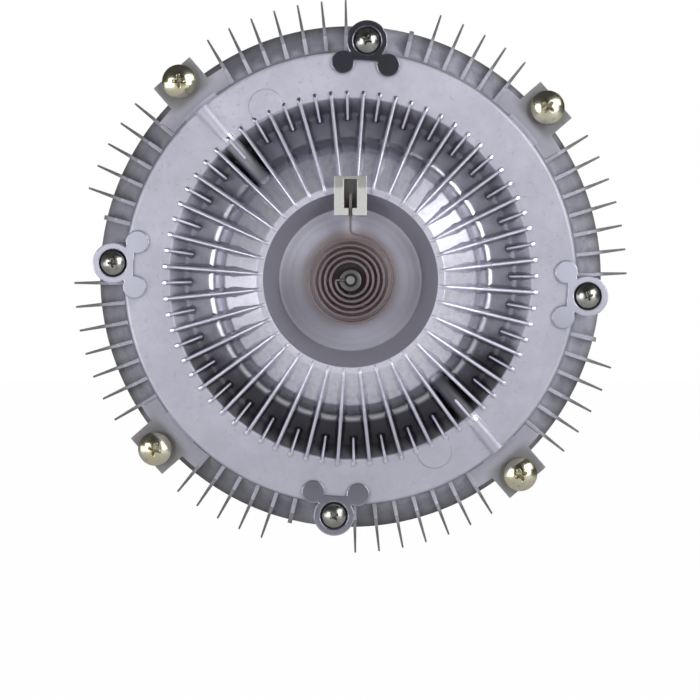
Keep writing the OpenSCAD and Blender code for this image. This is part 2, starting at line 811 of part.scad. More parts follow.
module front_cover() {
    hole_top = z_lug + 2;
    spot_r = cover_head_d / 2 + 1;
    port_len = cover_r - reservoir_r + 2;
    color(cast_colour) place() difference() {
        union() {
            rotate_extrude() difference() {
                cover_section();
                cover_hollow();
            }
            inner_fins();
            each_quarter() cover_lug();
            each_quarter(tab_at) cover_ear();
            for (a = rib_at) rotate(clock + a) return_rib();
            for (a = rib_at) rotate(clock + a - 15) casting_mark();
            coil_anchor();
        }
        translate([0, 0, z_seat]) cylinder(r = valve_bore_r, h = z_hub_rim - z_seat);
        anchor_cuts();
        each_quarter() translate([lug_at_r, 0, z_joint - 1])
            cylinder(d = cover_screw_d + 2 * hole_clear, h = hole_top - z_joint + 1);
        each_quarter() translate([lug_at_r, 0, z_cover_head]) cylinder(r = spot_r, h = spot_depth + 1);
        around(small_screw_n, small_screw_at_r, 45)
            translate([0, 0, z_seat - 1]) cylinder(d = small_screw_d + 2 * thread_clear,
                h = small_screw_grip + 1.5);
        for (a = rib_at) rotate(clock + a) along_passage() {
            cylinder(d = passage_d, h = port_len);
            translate([0, 0, -1]) cylinder(d = plug_d + 2 * thread_clear, h = plug_d + 1);
        }
    }
}

module cover_seal() {
    color(rubber_colour) place() rotate_extrude()
        translate([seal_at_r, z_joint - seal_groove_depth + seal_cord_r]) circle(seal_cord_r);
}

module separator_plate() {
    color(bright_steel_colour) place() difference() {
        tube(0, plate_r, z_joint, z_seat);
        rotate(port_at) translate([port_at_r, 0, z_joint - 1]) cylinder(d = port_d, h = plate_t + 2);
        around(small_screw_n, small_screw_at_r, 45) translate([0, 0, z_joint]) {
            translate([0, 0, -1]) cylinder(d = small_screw_d + 2 * hole_clear, h = plate_t + 2);
            translate([0, 0, -eps]) cylinder(d1 = small_head_d + 2 * hole_clear,
                d2 = small_screw_d + 2 * hole_clear, h = plate_t - 0.2);
        }
    }
}

module separator_screws() {
    head_h = plate_t - 0.2;
    socket_d = 2;
    color(steel_colour) place()
        around(small_screw_n, small_screw_at_r, 45) translate([0, 0, z_joint]) difference() {
            union() {
                cylinder(d1 = small_head_d, d2 = small_screw_d, h = head_h);
                cylinder(d = small_screw_d, h = plate_t + small_screw_grip);
            }
            translate([0, 0, -1]) cylinder(d = socket_d, h = 1.8, $fn = 6);
        }
}

module valve_arm() {
    arm_w = port_d + 6;
    color(bright_steel_colour) place() translate([0, 0, z_arm]) difference() {
        union() {
            cylinder(r = collar_r + 1, h = arm_t);
            rotate(port_at) translate([0, -arm_w / 2, 0]) cube([port_at_r, arm_w, arm_t]);
            rotate(port_at) translate([port_at_r, 0, 0]) cylinder(d = arm_w, h = arm_t);
        }
        translate([0, 0, -1]) cylinder(r = rivet_r + thread_clear, h = arm_t + 2);
    }
}

module valve_shaft() {
    groove_depth = 2 * oring_cord_r + 0.1;
    dot_r = 1.9;
    dot_ring_r = 3;
    dot_depth = 0.8;
    chamfer = 0.5;
    color(steel_colour) place() difference() {
        rotate_extrude() difference() {
            polygon([
                [0, z_arm], [rivet_r, z_arm], [rivet_r, z_collar], [collar_r, z_collar],
                [collar_r, z_collar + collar_t], [valve_r, z_collar + collar_t],
                [valve_r, z_valve_end - chamfer], [valve_r - chamfer, z_valve_end],
                [0, z_valve_end]
            ]);
            translate([valve_r - groove_depth, z_oring - oring_cord_r - 0.1])
                square([groove_depth + 1, 2 * oring_cord_r + 0.2]);
            translate([dot_r, z_valve_end - dot_depth]) square([dot_ring_r - dot_r, dot_depth + 1]);
        }
        rotate(coil_in_at) translate([slot_r0, -slot_w / 2, z_coil - 0.2])
            cube([valve_r, slot_w, z_valve_end - z_coil + 1]);
    }
}

module valve_shaft_seal() {
    at_r = valve_r - oring_cord_r;
    color(rubber_colour) place() rotate_extrude()
        translate([at_r - run_clear, z_oring]) circle(oring_cord_r - run_clear);
}

// Centre line of the coil: a tang in the shaft slot, the spiral, a bend and a straight radial tail
function on_circle(r, a) = [r * cos(a), r * sin(a)];
coil_total = coil_pitch_turns * 360;
function spiral(a) = on_circle(coil_r0 + (coil_r1 - coil_r0) * a / coil_total, coil_in_at + a);
bend_from = coil_total - bend_r / coil_r1 * 180 / PI;
tail_foot = coil_r1 + bend_r;
coil_line = concat(
    [for (r = [slot_r0 + 0.4, valve_r + 0.4]) on_circle(r, coil_in_at)],
    [for (a = [coil_step : coil_step : bend_from - coil_step]) spiral(a)],
    [for (a = [0 : 30 : 90]) [bend_r * (1 - sin(a)), tail_foot - bend_r * cos(a)]],
    [[0, tail_r]]
);
function tangent(p, i) = unit(p[min(i + 1, len(p) - 1)] - p[max(i - 1, 0)]);
function beside(p, d) = [for (i = [0 : len(p) - 1]) p[i] + d * [-tangent(p, i)[1], tangent(p, i)[0]]];
function backward(p) = [for (i = [len(p) - 1 : -1 : 0]) p[i]];

module bimetal_coil() {
    color(bimetal_colour) place() translate([0, 0, z_coil]) linear_extrude(strip_w)
        polygon(concat(beside(coil_line, strip_t / 2), backward(beside(coil_line, -strip_t / 2))));
}

module cover_screws() {
    color(bright_steel_colour) place() each_quarter() translate([lug_at_r, 0, 0])
        pan_screw(cover_screw_d, cover_head_d, cover_head_h, z_cover_head, z_joint, z_cover_screw_end);
}

module fan_screws() {
    color(zinc_colour) place() each_quarter(tab_at) translate([fan_bolt_r, 0, 0])
        pan_screw(fan_screw_d, fan_head_d, fan_head_h, z_tab, z_tab_rear, z_tab_rear - fan_stud_len);
}

module return_passage_plugs() {
    color(steel_colour) place() for (a = rib_at) rotate(clock + a)
        along_passage() translate([0, 0, plug_d / 2]) sphere(d = plug_d);
}

drive_shaft();
bearing_inner_ring();
bearing_outer_ring();
bearing_balls();
bearing_cage();
bearing_seal_rear();
bearing_seal_front();
bearing_circlip();
rotor();
rotor_circlip();
rear_body();
front_cover();
cover_seal();
separator_plate();
separator_screws();
valve_arm();
valve_shaft();
valve_shaft_seal();
bimetal_coil();
cover_screws();
fan_screws();
return_passage_plugs();
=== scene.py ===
"""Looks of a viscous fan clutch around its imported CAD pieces.

Lengths are millimetres in the clutch's own axes: x to the right, y up and z along the axis to the
front, with the drive flange face at z = 0. to_frame() turns them into the row frame, in metres.
"""

import math
from types import SimpleNamespace

import bmesh
import bpy
import numpy as np
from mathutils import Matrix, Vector


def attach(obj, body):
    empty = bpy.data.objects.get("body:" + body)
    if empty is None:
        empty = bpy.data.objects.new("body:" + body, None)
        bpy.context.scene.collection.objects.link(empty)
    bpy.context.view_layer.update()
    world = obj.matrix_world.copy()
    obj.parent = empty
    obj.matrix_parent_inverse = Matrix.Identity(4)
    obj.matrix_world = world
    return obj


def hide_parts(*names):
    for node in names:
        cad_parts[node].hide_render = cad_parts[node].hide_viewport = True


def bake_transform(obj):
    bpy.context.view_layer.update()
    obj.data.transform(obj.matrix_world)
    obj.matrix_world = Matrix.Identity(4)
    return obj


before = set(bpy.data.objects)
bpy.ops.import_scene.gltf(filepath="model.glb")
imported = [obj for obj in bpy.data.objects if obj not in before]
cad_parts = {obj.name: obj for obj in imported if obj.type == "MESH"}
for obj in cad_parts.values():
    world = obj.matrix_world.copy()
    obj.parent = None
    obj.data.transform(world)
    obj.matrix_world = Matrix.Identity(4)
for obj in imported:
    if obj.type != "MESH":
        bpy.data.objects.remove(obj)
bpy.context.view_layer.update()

MM = 0.001

# Sizes of the CAD source that the looks follow
CLOCK = -4.0
QUARTERS = 4
LONG_FIN_COUNT = 36
RIB_AT = (135.0, 315.0)
RIB_HALF_ANGLE = 4.0
RIB_R = 3.6
RING_Z = 80.1
RECESS_Z = 70.6
HUB_RIM_Z = 92.1
CUP_RIM_R = 39.5
HUB_RIM_R = 42.5
HUB_TOP_R = 57.5
HUB_TOP_Z = 82.1
HUB_BASE_R = 63.0
RING_R = 82.5
RING_SLOPE = 7.0
COVER_R = 103.0
FIN_END_R = 84.1
FIN_HALF = 0.65
FIN_PROUD = 0.6
SHORT_FIN_R = 73.5
SHORT_FIN_Z = 77.1
LUG_AT_R = 108.2
FAN_BOLT_R = 120.0
TAB_AT = 45.0
TAB_Z = 64.1
TAB_REAR_Z = 43.0
COVER_HEAD_Z = 79.9
COVER_SCREW_END_Z = 56.6
COIL_Z = 84.1
STRIP_W = 10.0
STRIP_T = 1.1
COIL_R0 = 6.6
COIL_R1 = 20.5
COIL_TURNS = 5.75
COIL_IN_AT = 180.0
TANG_R = 2.6
TAIL_R = 38.75
ANCHOR_R1 = 46.75
ANCHOR_W = 14.6
BEND_R = 2.4

# Skins of the cover's fins
FIN_ROUND = FIN_HALF + 0.07
FIN_DRAFT = 0.02
FIN_START_R = CUP_RIM_R + 0.15
FIN_START_RUN = 1.35
FIN_START_DROP = 1.05
FIN_TOP_R = CUP_RIM_R + 1.5
FIN_TOP_Z = HUB_RIM_Z + 0.5
FIN_RING_Z = RING_Z + FIN_PROUD
FIN_OUT_R = FIN_END_R + 1.7
BLOCK_FIN_R = ANCHOR_R1 - 0.7
SHORT_START_R = SHORT_FIN_R - 1.2
RIB_FIN_Z = 82.0
NOSE_LIFT = 0.45
NOSE_H = 0.7
NOSE_SHARE = 0.45
ROOT_FILLET = 1.7
FILLET_MIN = 0.1
FILLET_SHARE = 0.4
ROOT_SINK = 0.6
FACET_R = 83.6
FACET_RUN_IN = 0.8
FACET_FALL = 0.39
FACET_NOSE_H = 0.22
LIP_LEN = 0.5
LIP_SINK = 0.3
KNOB_R = 84.9
KNOB_LEN = 1.0
KNOB_SHARE = 0.3

# Grid of a fin's skin: counts of points, the gap between even stretches and the crowding to the root
END_POINTS = 6
NOSE_POINTS = 6
SIDE_POINTS = 11
SIDE_CROWDING = 1.7
HUB_POINTS = 8
WALL_POINTS = 9
RECESS_POINTS = 8
FACET_POINTS = 18
STRETCH_GAP = 1.0

# Screws, with the angles at which the tool left their heads
FAN_SCREW_PAST_TAB = 14.0
FAN_SCREW = dict(shank_r=4.0, head_r=7.8, head_h=5.6, shank_len=TAB_Z - TAB_REAR_Z + FAN_SCREW_PAST_TAB,
                 thread_len=16.0, thread_pitch=1.25)
FAN_HEAD_TURNS = (12, 50, 31, 74)
COVER_SCREW = dict(shank_r=3.0, head_r=5.4, head_h=4.2, shank_len=COVER_HEAD_Z - COVER_SCREW_END_Z,
                   thread_len=10.0, thread_pitch=1.0)
COVER_HEAD_TURNS = (20, 65, 5, 40)

# Form of a screw: the head's edge in shares of its radius and height, the neck as what it adds to the
# shank's radius and its height, and the tip in shares of the shank's radius and its height over the end
SCREW_POINTS = 96
DOME_POINTS = 34
DOME_TURN = 88.0
EDGE_SHARE = 0.42
HEAD_EDGE = np.array([[0.985, 0.93], [1.0, 0.8], [1.0, 0.12], [0.985, 0.03], [0.96, 0.0]])
NECK = np.array([[0.4, 0.0], [0.1, -0.1], [0.0, -0.4]])
TIP = np.array([[0.86, 0.5], [0.78, 0.0], [0.0, 0.0]])
SMOOTH_TOP = 0.6
SMOOTH_POINTS = 6
THREAD_POINTS = 8
THREAD_STOP = 0.8
THREAD_DEPTH = 0.58
THREAD_RUN_IN = 12.0
# Cross recess in shares of the head's radius, and its depth in shares of the head's height
CROSS = SimpleNamespace(slot_half=0.1, slot_edge=0.05, slot_len=0.4, slot_end=0.1, core_r=0.16,
                        core_edge=0.06, rise_len=0.62, depth=0.52, rise=0.14)

# Form of the bimetal strip, with counts of points along it
STRIP_ROUND = 0.3
ROUND_POINTS = 4
SPIRAL_START = 10.0
SPIRAL_POINTS = 620
TANG_GAP = 0.3
TANG_POINTS = 4
BEND_START = 8.0
BEND_POINTS = 9
TAIL_GAP = 2.0
TAIL_POINTS = 6


# Shapes

def to_frame(points):
    """Row frame of points in the clutch's axes: x stays, the axis turns to -Y and y to +Z, in metres."""
    x, y, z = np.moveaxis(np.asarray(points, float), -1, 0)
    return np.stack([x, -z, y], axis=-1) * MM


def turned(points, degrees):
    """Points turned about the clutch axis."""
    a = math.radians(degrees)
    x, y, z = np.moveaxis(points, -1, 0)
    return np.stack([x * math.cos(a) - y * math.sin(a), x * math.sin(a) + y * math.cos(a), z], axis=-1)


def grid_quads(rows, cols):
    """Corner numbers of the quads of a grid of points whose columns join round."""
    i, j = np.meshgrid(np.arange(rows - 1), np.arange(cols), indexing="ij")
    right = (j + 1) % cols
    quads = np.stack([i * cols + j, i * cols + right, (i + 1) * cols + right, (i + 1) * cols + j], axis=-1)
    return quads.reshape(-1, 4)


def make_piece(name, shells, material, sharp_degrees=40.0, merge_distance=1e-7):
    """One mesh of closed shells, each a grid of points whose columns join round."""
    points = []
    quads = []
    first = 0
    for grid in shells:
        rows, cols = grid.shape[:2]
        points.append(to_frame(grid).reshape(-1, 3))
        quads.append(grid_quads(rows, cols) + first)
        first += rows * cols
    mesh = bpy.data.meshes.new(name)
    mesh.from_pydata(np.concatenate(points).tolist(), [], np.concatenate(quads).tolist())
    shape = bmesh.new()
    shape.from_mesh(mesh)
    bmesh.ops.remove_doubles(shape, verts=shape.verts, dist=merge_distance)
    bmesh.ops.dissolve_degenerate(shape, edges=shape.edges, dist=merge_distance)
    bmesh.ops.recalc_face_normals(shape, faces=shape.faces)
    shape.to_mesh(mesh)
    shape.free()
    mesh.shade_smooth()
    mesh.set_sharp_from_angle(angle=math.radians(sharp_degrees))
    mesh.materials.append(material)
    piece = bpy.data.objects.new(name, mesh)
    bpy.context.scene.collection.objects.link(piece)
    return piece


def cover_surface(r):
    """Height of the cover casting under the fins: rim, hub cone, hub wall, recess floor and ring."""
    radii = [CUP_RIM_R, HUB_RIM_R, HUB_TOP_R, HUB_BASE_R, RING_R - RING_SLOPE, RING_R, COVER_R]
    heights = [HUB_RIM_Z, HUB_RIM_Z, HUB_TOP_Z, RECESS_Z, RECESS_Z, RING_Z, RING_Z]
    return np.interp(r, radii, heights)


def fin_radii(r_start, *stretches):
    """Radii along a fin: rows by the cosine in its half-round ends, and even stretches between them. Each
    stretch is its first radius, last radius and count, and the last one runs over the ring."""
    ends = FIN_ROUND * (1 - np.cos(np.radians(np.linspace(0, 90, END_POINTS))))
    over_ring = (RING_R - 2 * STRETCH_GAP, FIN_OUT_R - FIN_ROUND, FACET_POINTS)
    middle = np.concatenate([np.linspace(*stretch) for stretch in (*stretches, over_ring)])
    return np.concatenate([r_start + ends, middle[1:-1], (FIN_OUT_R - ends)[::-1]])


def fin_end(radii, edge):
    """Front edge over the fin's outer end: a facet that falls outward in a line, then a quarter of an
    ellipse down into the ring."""
    lip = FIN_OUT_R - LIP_LEN
    facet = edge - FACET_FALL * np.clip(radii - FACET_R, 0.0, lip - FACET_R)
    share = np.clip((radii - lip) / (FIN_OUT_R - lip), 0.0, 1.0)
    foot = RING_Z - LIP_SINK
    return foot + (facet - foot) * np.sqrt(1 - share**2)


def fin_skin(radii, line, r_start):
    """Skin of one cast fin along +x under the line of its front edge: at each radius an elliptic nose,
    sides that widen by the draft and a root fillet, with half-round ends in plan and a flatter, wider
    knob at the outer end. It closes below the casting's surface."""
    edge = fin_end(radii, line)
    surface = cover_surface(radii)
    depth_end = edge - surface + ROOT_SINK
    nose = np.radians(np.linspace(0.0, 90.0, NOSE_POINTS))
    nose_h = np.interp(radii, [FACET_R - FACET_RUN_IN, FACET_R], [NOSE_H, FACET_NOSE_H])
    nose_h = np.minimum(nose_h, depth_end * NOSE_SHARE)[:, None]
    fall = 1 - (1 - np.linspace(0.0, 1.0, SIDE_POINTS)[1:]) ** SIDE_CROWDING
    side_depth = nose_h + (depth_end[:, None] - nose_h) * fall
    depth = np.concatenate([nose_h * (1 - np.cos(nose)), side_depth], axis=1)
    fillet = np.clip((edge - surface) * FILLET_SHARE, FILLET_MIN, ROOT_FILLET)[:, None]
    over = np.clip(edge[:, None] - depth - surface[:, None], 0.0, fillet)
    flare = fillet - np.sqrt(fillet**2 - (fillet - over) ** 2)
    width = FIN_ROUND + FIN_DRAFT * np.clip(depth - nose_h, 0.0, None) + flare
    width[:, :NOSE_POINTS] = (FIN_ROUND + flare[:, :NOSE_POINTS]) * np.sin(nose)
    width *= 1 + KNOB_SHARE * np.exp(-(((radii - KNOB_R) / KNOB_LEN) ** 2))[:, None]
    end_in = np.clip((r_start + FIN_ROUND - radii) / FIN_ROUND, 0.0, 1.0)
    end_out = np.clip((radii - (FIN_OUT_R - FIN_ROUND)) / FIN_ROUND, 0.0, 1.0)
    width *= np.sqrt((1 - end_in**2) * (1 - end_out**2))[:, None]
    z = edge[:, None] - depth
    x = np.broadcast_to(radii[:, None], z.shape)
    left = np.stack([x, width, z], axis=-1)
    right = np.stack([x, -width, z], axis=-1)
    return np.concatenate([left[:, ::-1], right[:, 1:]], axis=1)


def long_fin_skin(r_start, start_drop):
    """Long fin: its front edge climbs onto the hub rim and falls in one line to the ring."""
    radii = fin_radii(
        r_start,
        (r_start + FIN_ROUND, HUB_TOP_R - 2 * STRETCH_GAP, HUB_POINTS),
        (HUB_TOP_R - STRETCH_GAP, HUB_BASE_R + STRETCH_GAP, WALL_POINTS),
        (HUB_BASE_R + 2 * STRETCH_GAP, RING_R - 3 * STRETCH_GAP, RECESS_POINTS),
    )
    line = np.interp(radii, [FIN_TOP_R, FACET_R], [FIN_TOP_Z + NOSE_LIFT, FIN_RING_Z + NOSE_LIFT])
    line -= np.interp(radii, [r_start, r_start + FIN_START_RUN], [start_drop, 0.0])
    return fin_skin(radii, line, r_start)


def short_fin_skin(z_in, z_out):
    """Short fin: a front edge in one line from z_in at the fin's inner end to z_out at the ring."""
    in_recess = (SHORT_START_R + FIN_ROUND, RING_R - 3 * STRETCH_GAP, RECESS_POINTS)
    radii = fin_radii(SHORT_START_R, in_recess)
    line = np.interp(radii, [SHORT_FIN_R, FACET_R], [z_in + NOSE_LIFT, z_out + NOSE_LIFT])
    return fin_skin(radii, line, SHORT_START_R)


def cover_fin_shells():
    """All inner fins: a long one at each pitch and a short one between, which stands on the rib where
    one runs. The long fins that meet the coil's anchor block start inside its outer wall."""
    pitch = 360.0 / LONG_FIN_COUNT
    long_fin = long_fin_skin(FIN_START_R, FIN_START_DROP)
    block_fin = long_fin_skin(BLOCK_FIN_R, 0.0)
    short_fin = short_fin_skin(SHORT_FIN_Z, FIN_RING_Z)
    rib_fin = short_fin_skin(RIB_FIN_Z, RIB_FIN_Z)
    shells = []
    for k in range(LONG_FIN_COUNT):
        angle = CLOCK + k * pitch
        across = abs(math.cos(math.radians(angle))) * ANCHOR_R1
        at_block = math.sin(math.radians(angle)) > 0 and across < ANCHOR_W / 2
        shells.append(turned(block_fin if at_block else long_fin, angle))
        between = (k + 0.5) * pitch
        at_rib = min(abs(between - a) for a in RIB_AT) <= RIB_HALF_ANGLE
        shells.append(turned(rib_fin if at_rib else short_fin, CLOCK + between))
    return shells


def under(value, limit, edge):
    """1 where a value is under a limit by its edge or more, 0 over the limit, and even between."""
    return np.clip((limit - value) / edge, 0, 1)


def cross_recess(r, angles, head_r, head_h):
    """Depth of a cross recess at each radius and angle: two crossed slots and a round core, with sloping
    walls and a floor that rises outward."""
    across = np.minimum(np.abs(np.sin(angles)), np.abs(np.cos(angles))) * r
    along = np.maximum(np.abs(np.sin(angles)), np.abs(np.cos(angles))) * r
    slot = under(across, head_r * CROSS.slot_half, head_r * CROSS.slot_edge)
    slot = slot * under(along, head_r * CROSS.slot_len, head_r * CROSS.slot_end)
    core = under(r, head_r * CROSS.core_r, head_r * CROSS.core_edge)
    floor = head_h * (CROSS.depth - CROSS.rise * np.clip(along / (head_r * CROSS.rise_len), 0, 1))
    return floor * np.maximum(slot, core) ** 2


def screw_shell(shank_r, head_r, head_h, shank_len, thread_len, thread_pitch):
    """One screw about z with its seat at z = 0: a profile turned about the axis. The dome, an arc, is
    lowered in the cross recess, and a triangle wave of z and angle cuts the thread into the shank."""
    angles = np.linspace(0.0, 2 * np.pi, SCREW_POINTS, endpoint=False)
    edge_h = head_h * EDGE_SHARE
    dome_h = head_h - edge_h
    dome_r = (head_r**2 + dome_h**2) / (2 * dome_h)
    dome = head_r * np.sin(np.radians(np.linspace(0.0, DOME_TURN, DOME_POINTS)))
    dome_z = head_h - dome_r + np.sqrt(dome_r**2 - dome**2)
    thread_top = -(shank_len - thread_len)
    smooth_z = np.linspace(-SMOOTH_TOP, thread_top, SMOOTH_POINTS)
    thread_z = np.arange(thread_top, THREAD_STOP - shank_len, -thread_pitch / THREAD_POINTS)
    shank = np.full(len(smooth_z) + len(thread_z), shank_r)
    radius = np.concatenate([dome, HEAD_EDGE[:, 0] * head_r, shank_r + NECK[:, 0], shank,
                             TIP[:, 0] * shank_r])
    height = np.concatenate([dome_z, HEAD_EDGE[:, 1] * edge_h, NECK[:, 1], smooth_z, thread_z,
                             TIP[:, 1] - shank_len])
    r = np.tile(radius[:, None], (1, len(angles)))
    z = np.tile(height[:, None], (1, len(angles)))
    z[:DOME_POINTS] -= cross_recess(r[:DOME_POINTS], angles, head_r, head_h)
    thread_end = len(radius) - len(TIP)
    thread = slice(thread_end - len(thread_z), thread_end)
    phase = (z[thread] / thread_pitch - angles / (2 * np.pi)) % 1.0
    run_in = np.clip(np.arange(len(thread_z)) / THREAD_RUN_IN, 0, 1)[:, None]
    r[thread] -= THREAD_DEPTH * thread_pitch * np.abs(2 * phase - 1) * run_in
    return np.stack([r * np.cos(angles), r * np.sin(angles), z], axis=-1)


def screw_set(shell, at_r, first_angle, seat_z, head_turns):
    """One screw in each quarter of the clutch, each head turned by its own angle."""
    shells = []
    for k in range(QUARTERS):
        screw = turned(shell, head_turns[k]) + np.array([at_r, 0.0, seat_z])
        shells.append(turned(screw, CLOCK + first_angle + 360.0 / QUARTERS * k))
    return shells


def coil_line():
    """Centre line of the bimetal strip in the plane of the coil: a tang in the shaft, a spiral whose
    radius grows with its angle, a bend and a radial tail. It also gives each point's share of the
    wind-up, from 1 at the shaft to 0 at the tail."""
    total = math.radians(360.0 * COIL_TURNS)
    a = np.linspace(math.radians(SPIRAL_START), total - BEND_R / COIL_R1, SPIRAL_POINTS)
    r = COIL_R0 + (COIL_R1 - COIL_R0) * a / total
    turn = math.radians(COIL_IN_AT) + a
    spiral = np.stack([r * np.cos(turn), r * np.sin(turn)], axis=-1)
    tang_x = -np.linspace(TANG_R, COIL_R0 - TANG_GAP, TANG_POINTS)
    tang = np.stack([tang_x, np.zeros(TANG_POINTS)], axis=-1)
    bend_at = np.radians(np.linspace(BEND_START, 90.0, BEND_POINTS))
    foot = COIL_R1 + BEND_R
    bend = np.stack([BEND_R * (1 - np.sin(bend_at)), foot - BEND_R * np.cos(bend_at)], axis=-1)
    tail_y = np.linspace(foot + TAIL_GAP, TAIL_R, TAIL_POINTS)
    tail = np.stack([np.zeros(TAIL_POINTS), tail_y], axis=-1)
    line = np.concatenate([tang, spiral, bend, tail])
    share = np.concatenate([np.ones(TANG_POINTS), 1 - a / total, np.zeros(BEND_POINTS + TAIL_POINTS)])
    return line, share


def strip_section():
    """Section of the strip about its centre, thickness by width: a rectangle with quarter-round corners."""
    corner = np.radians(np.linspace(0.0, 90.0, ROUND_POINTS))
    quarter = np.stack([np.cos(corner), np.sin(corner)], axis=-1) * STRIP_ROUND
    half = np.array([STRIP_T / 2 - STRIP_ROUND, STRIP_W / 2 - STRIP_ROUND])
    section = []
    for k, sign in enumerate([(1, 1), (-1, 1), (-1, -1), (1, -1)]):
        arc = quarter if k % 2 == 0 else quarter[::-1]
        section.append((arc + half) * np.array(sign))
    return np.concatenate(section)


def coil_shell(line):
    """Strip carried along its centre line: the section set across the line at each point, and drawn
    together to a point at both ends."""
    tangent = np.gradient(line, axis=0)
    tangent /= np.linalg.norm(tangent, axis=1)[:, None]
    across = np.stack([-tangent[:, 1], tangent[:, 0]], axis=-1)
    section = strip_section()
    ends = np.concatenate([[0.0], np.ones(len(line)), [0.0]])
    line = np.concatenate([line[:1], line, line[-1:]])
    across = np.concatenate([across[:1], across, across[-1:]])
    offset = section[None, :, 0, None] * across[:, None, :] * ends[:, None, None]
    plane = line[:, None, :] + offset
    height = COIL_Z + STRIP_W / 2 + section[None, :, 1] * ends[:, None]
    height = np.broadcast_to(height, plane.shape[:2])
    return np.concatenate([plane, height[..., None]], axis=-1)


# Shader nodes

def emptied(owner):
    """Node tree of a material or world, without the nodes it came with."""
    owner.use_nodes = True
    owner.node_tree.nodes.clear()
    return owner.node_tree


def add(tree, kind, **settings):
    """A new node with its settings."""
    made = tree.nodes.new(kind)
    for key, value in settings.items():
        setattr(made, key, value)
    return made


def feed(tree, socket, value):
    """Links a socket to an input, or sets the input to a plain value."""
    if isinstance(value, bpy.types.NodeSocket):
        tree.links.new(value, socket)
    else:
        socket.default_value = value


def calc(tree, operation, a, b=0.0):
    """One step of arithmetic on sockets or numbers."""
    step = add(tree, "ShaderNodeMath", operation=operation)
    feed(tree, step.inputs[0], a)
    feed(tree, step.inputs[1], b)
    return step.outputs[0]


def times(tree, first, *others):
    """Product of sockets and numbers, which is also the mask where masks meet."""
    for other in others:
        first = calc(tree, "MULTIPLY", first, other)
    return first


def most(tree, first, *others):
    """Largest of sockets and numbers, which is also the mask that joins masks."""
    for other in others:
        first = calc(tree, "MAXIMUM", first, other)
    return first


def length(tree, a, b):
    """Length of the vector whose two parts are given."""
    return calc(tree, "SQRT", calc(tree, "ADD", times(tree, a, a), times(tree, b, b)))


def ramp(tree, value, low, high, out_low=0.0, out_high=1.0):
    """A smooth step of a value from out_low at low to out_high at high."""
    step = add(tree, "ShaderNodeMapRange", interpolation_type="SMOOTHSTEP")
    feed(tree, step.inputs["Value"], value)
    step.inputs["From Min"].default_value = low
    step.inputs["From Max"].default_value = high
    step.inputs["To Min"].default_value = out_low
    step.inputs["To Max"].default_value = out_high
    return step.outputs["Result"]


def blend_colour(tree, share, first, second):
    """Colour between two colours by a share."""
    mix = add(tree, "ShaderNodeMix", data_type="RGBA")
    feed(tree, mix.inputs["Factor"], share)
    feed(tree, mix.inputs["A"], first)
    feed(tree, mix.inputs["B"], second)
    return mix.outputs["Result"]


def blend_value(tree, share, first, second):
    """Value between two values by a share."""
    mix = add(tree, "ShaderNodeMix", data_type="FLOAT")
    feed(tree, mix.inputs["Factor"], share)
    feed(tree, mix.inputs["A"], first)
    feed(tree, mix.inputs["B"], second)
    return mix.outputs["Result"]


def mix_shaders(tree, share, first, second, output):
    """Shader between two shaders by a share, into a new output node."""
    mix = add(tree, "ShaderNodeMixShader")
    feed(tree, mix.inputs[0], share)
    feed(tree, mix.inputs[1], first.outputs[0])
    feed(tree, mix.inputs[2], second.outputs[0])
    feed(tree, add(tree, output).inputs["Surface"], mix.outputs[0])


def coated(tree, skin, layers):
    """Skin under layers of tone, dirt and wear, each a mask, a share of it and a colour."""
    for mask, share, colour in layers:
        skin = blend_colour(tree, times(tree, mask, share), skin, colour)
    return skin


def noise(tree, place, scale, detail=3.0, roughness=0.55):
    """Noise over a place, centred on one half."""
    made = add(tree, "ShaderNodeTexNoise")
    feed(tree, made.inputs["Vector"], place)
    made.inputs["Scale"].default_value = scale
    made.inputs["Detail"].default_value = detail
    made.inputs["Roughness"].default_value = roughness
    return made.outputs["Fac"]


def on_piece(tree):
    """Place on the piece, in metres."""
    return add(tree, "ShaderNodeTexCoord").outputs["Object"]


# Shared effects, with how fast streaks change along a radius and turning marks along the axis

STREAK_RUN = 0.02
TURNING_RUN = 0.3


def new_group(name, inputs, outputs):
    """An empty node group with its named values as inputs and outputs, and its two end nodes."""
    tree = bpy.data.node_groups.new(name, "ShaderNodeTree")
    for label, value in inputs.items():
        socket = tree.interface.new_socket(label, in_out="INPUT", socket_type="NodeSocketFloat")
        socket.default_value = value
    for label in outputs:
        kind = "NodeSocketVector" if label == "Normal" else "NodeSocketFloat"
        tree.interface.new_socket(label, in_out="OUTPUT", socket_type=kind)
    return tree, add(tree, "NodeGroupInput"), add(tree, "NodeGroupOutput")


def put_out(tree, out, values):
    """Links a group's results to its outputs."""
    for label, value in values.items():
        feed(tree, out.inputs[label], value)


def screw_reach(tree, radius, from_screw, screw_r):
    """Distance from a screw's axis, from the distance to the clutch axis and the angle to the screw."""
    turn = times(tree, from_screw, math.pi / 180.0)
    along = calc(tree, "SUBTRACT", times(tree, radius, calc(tree, "COSINE", turn)), screw_r)
    return length(tree, along, times(tree, radius, calc(tree, "SINE", turn)))


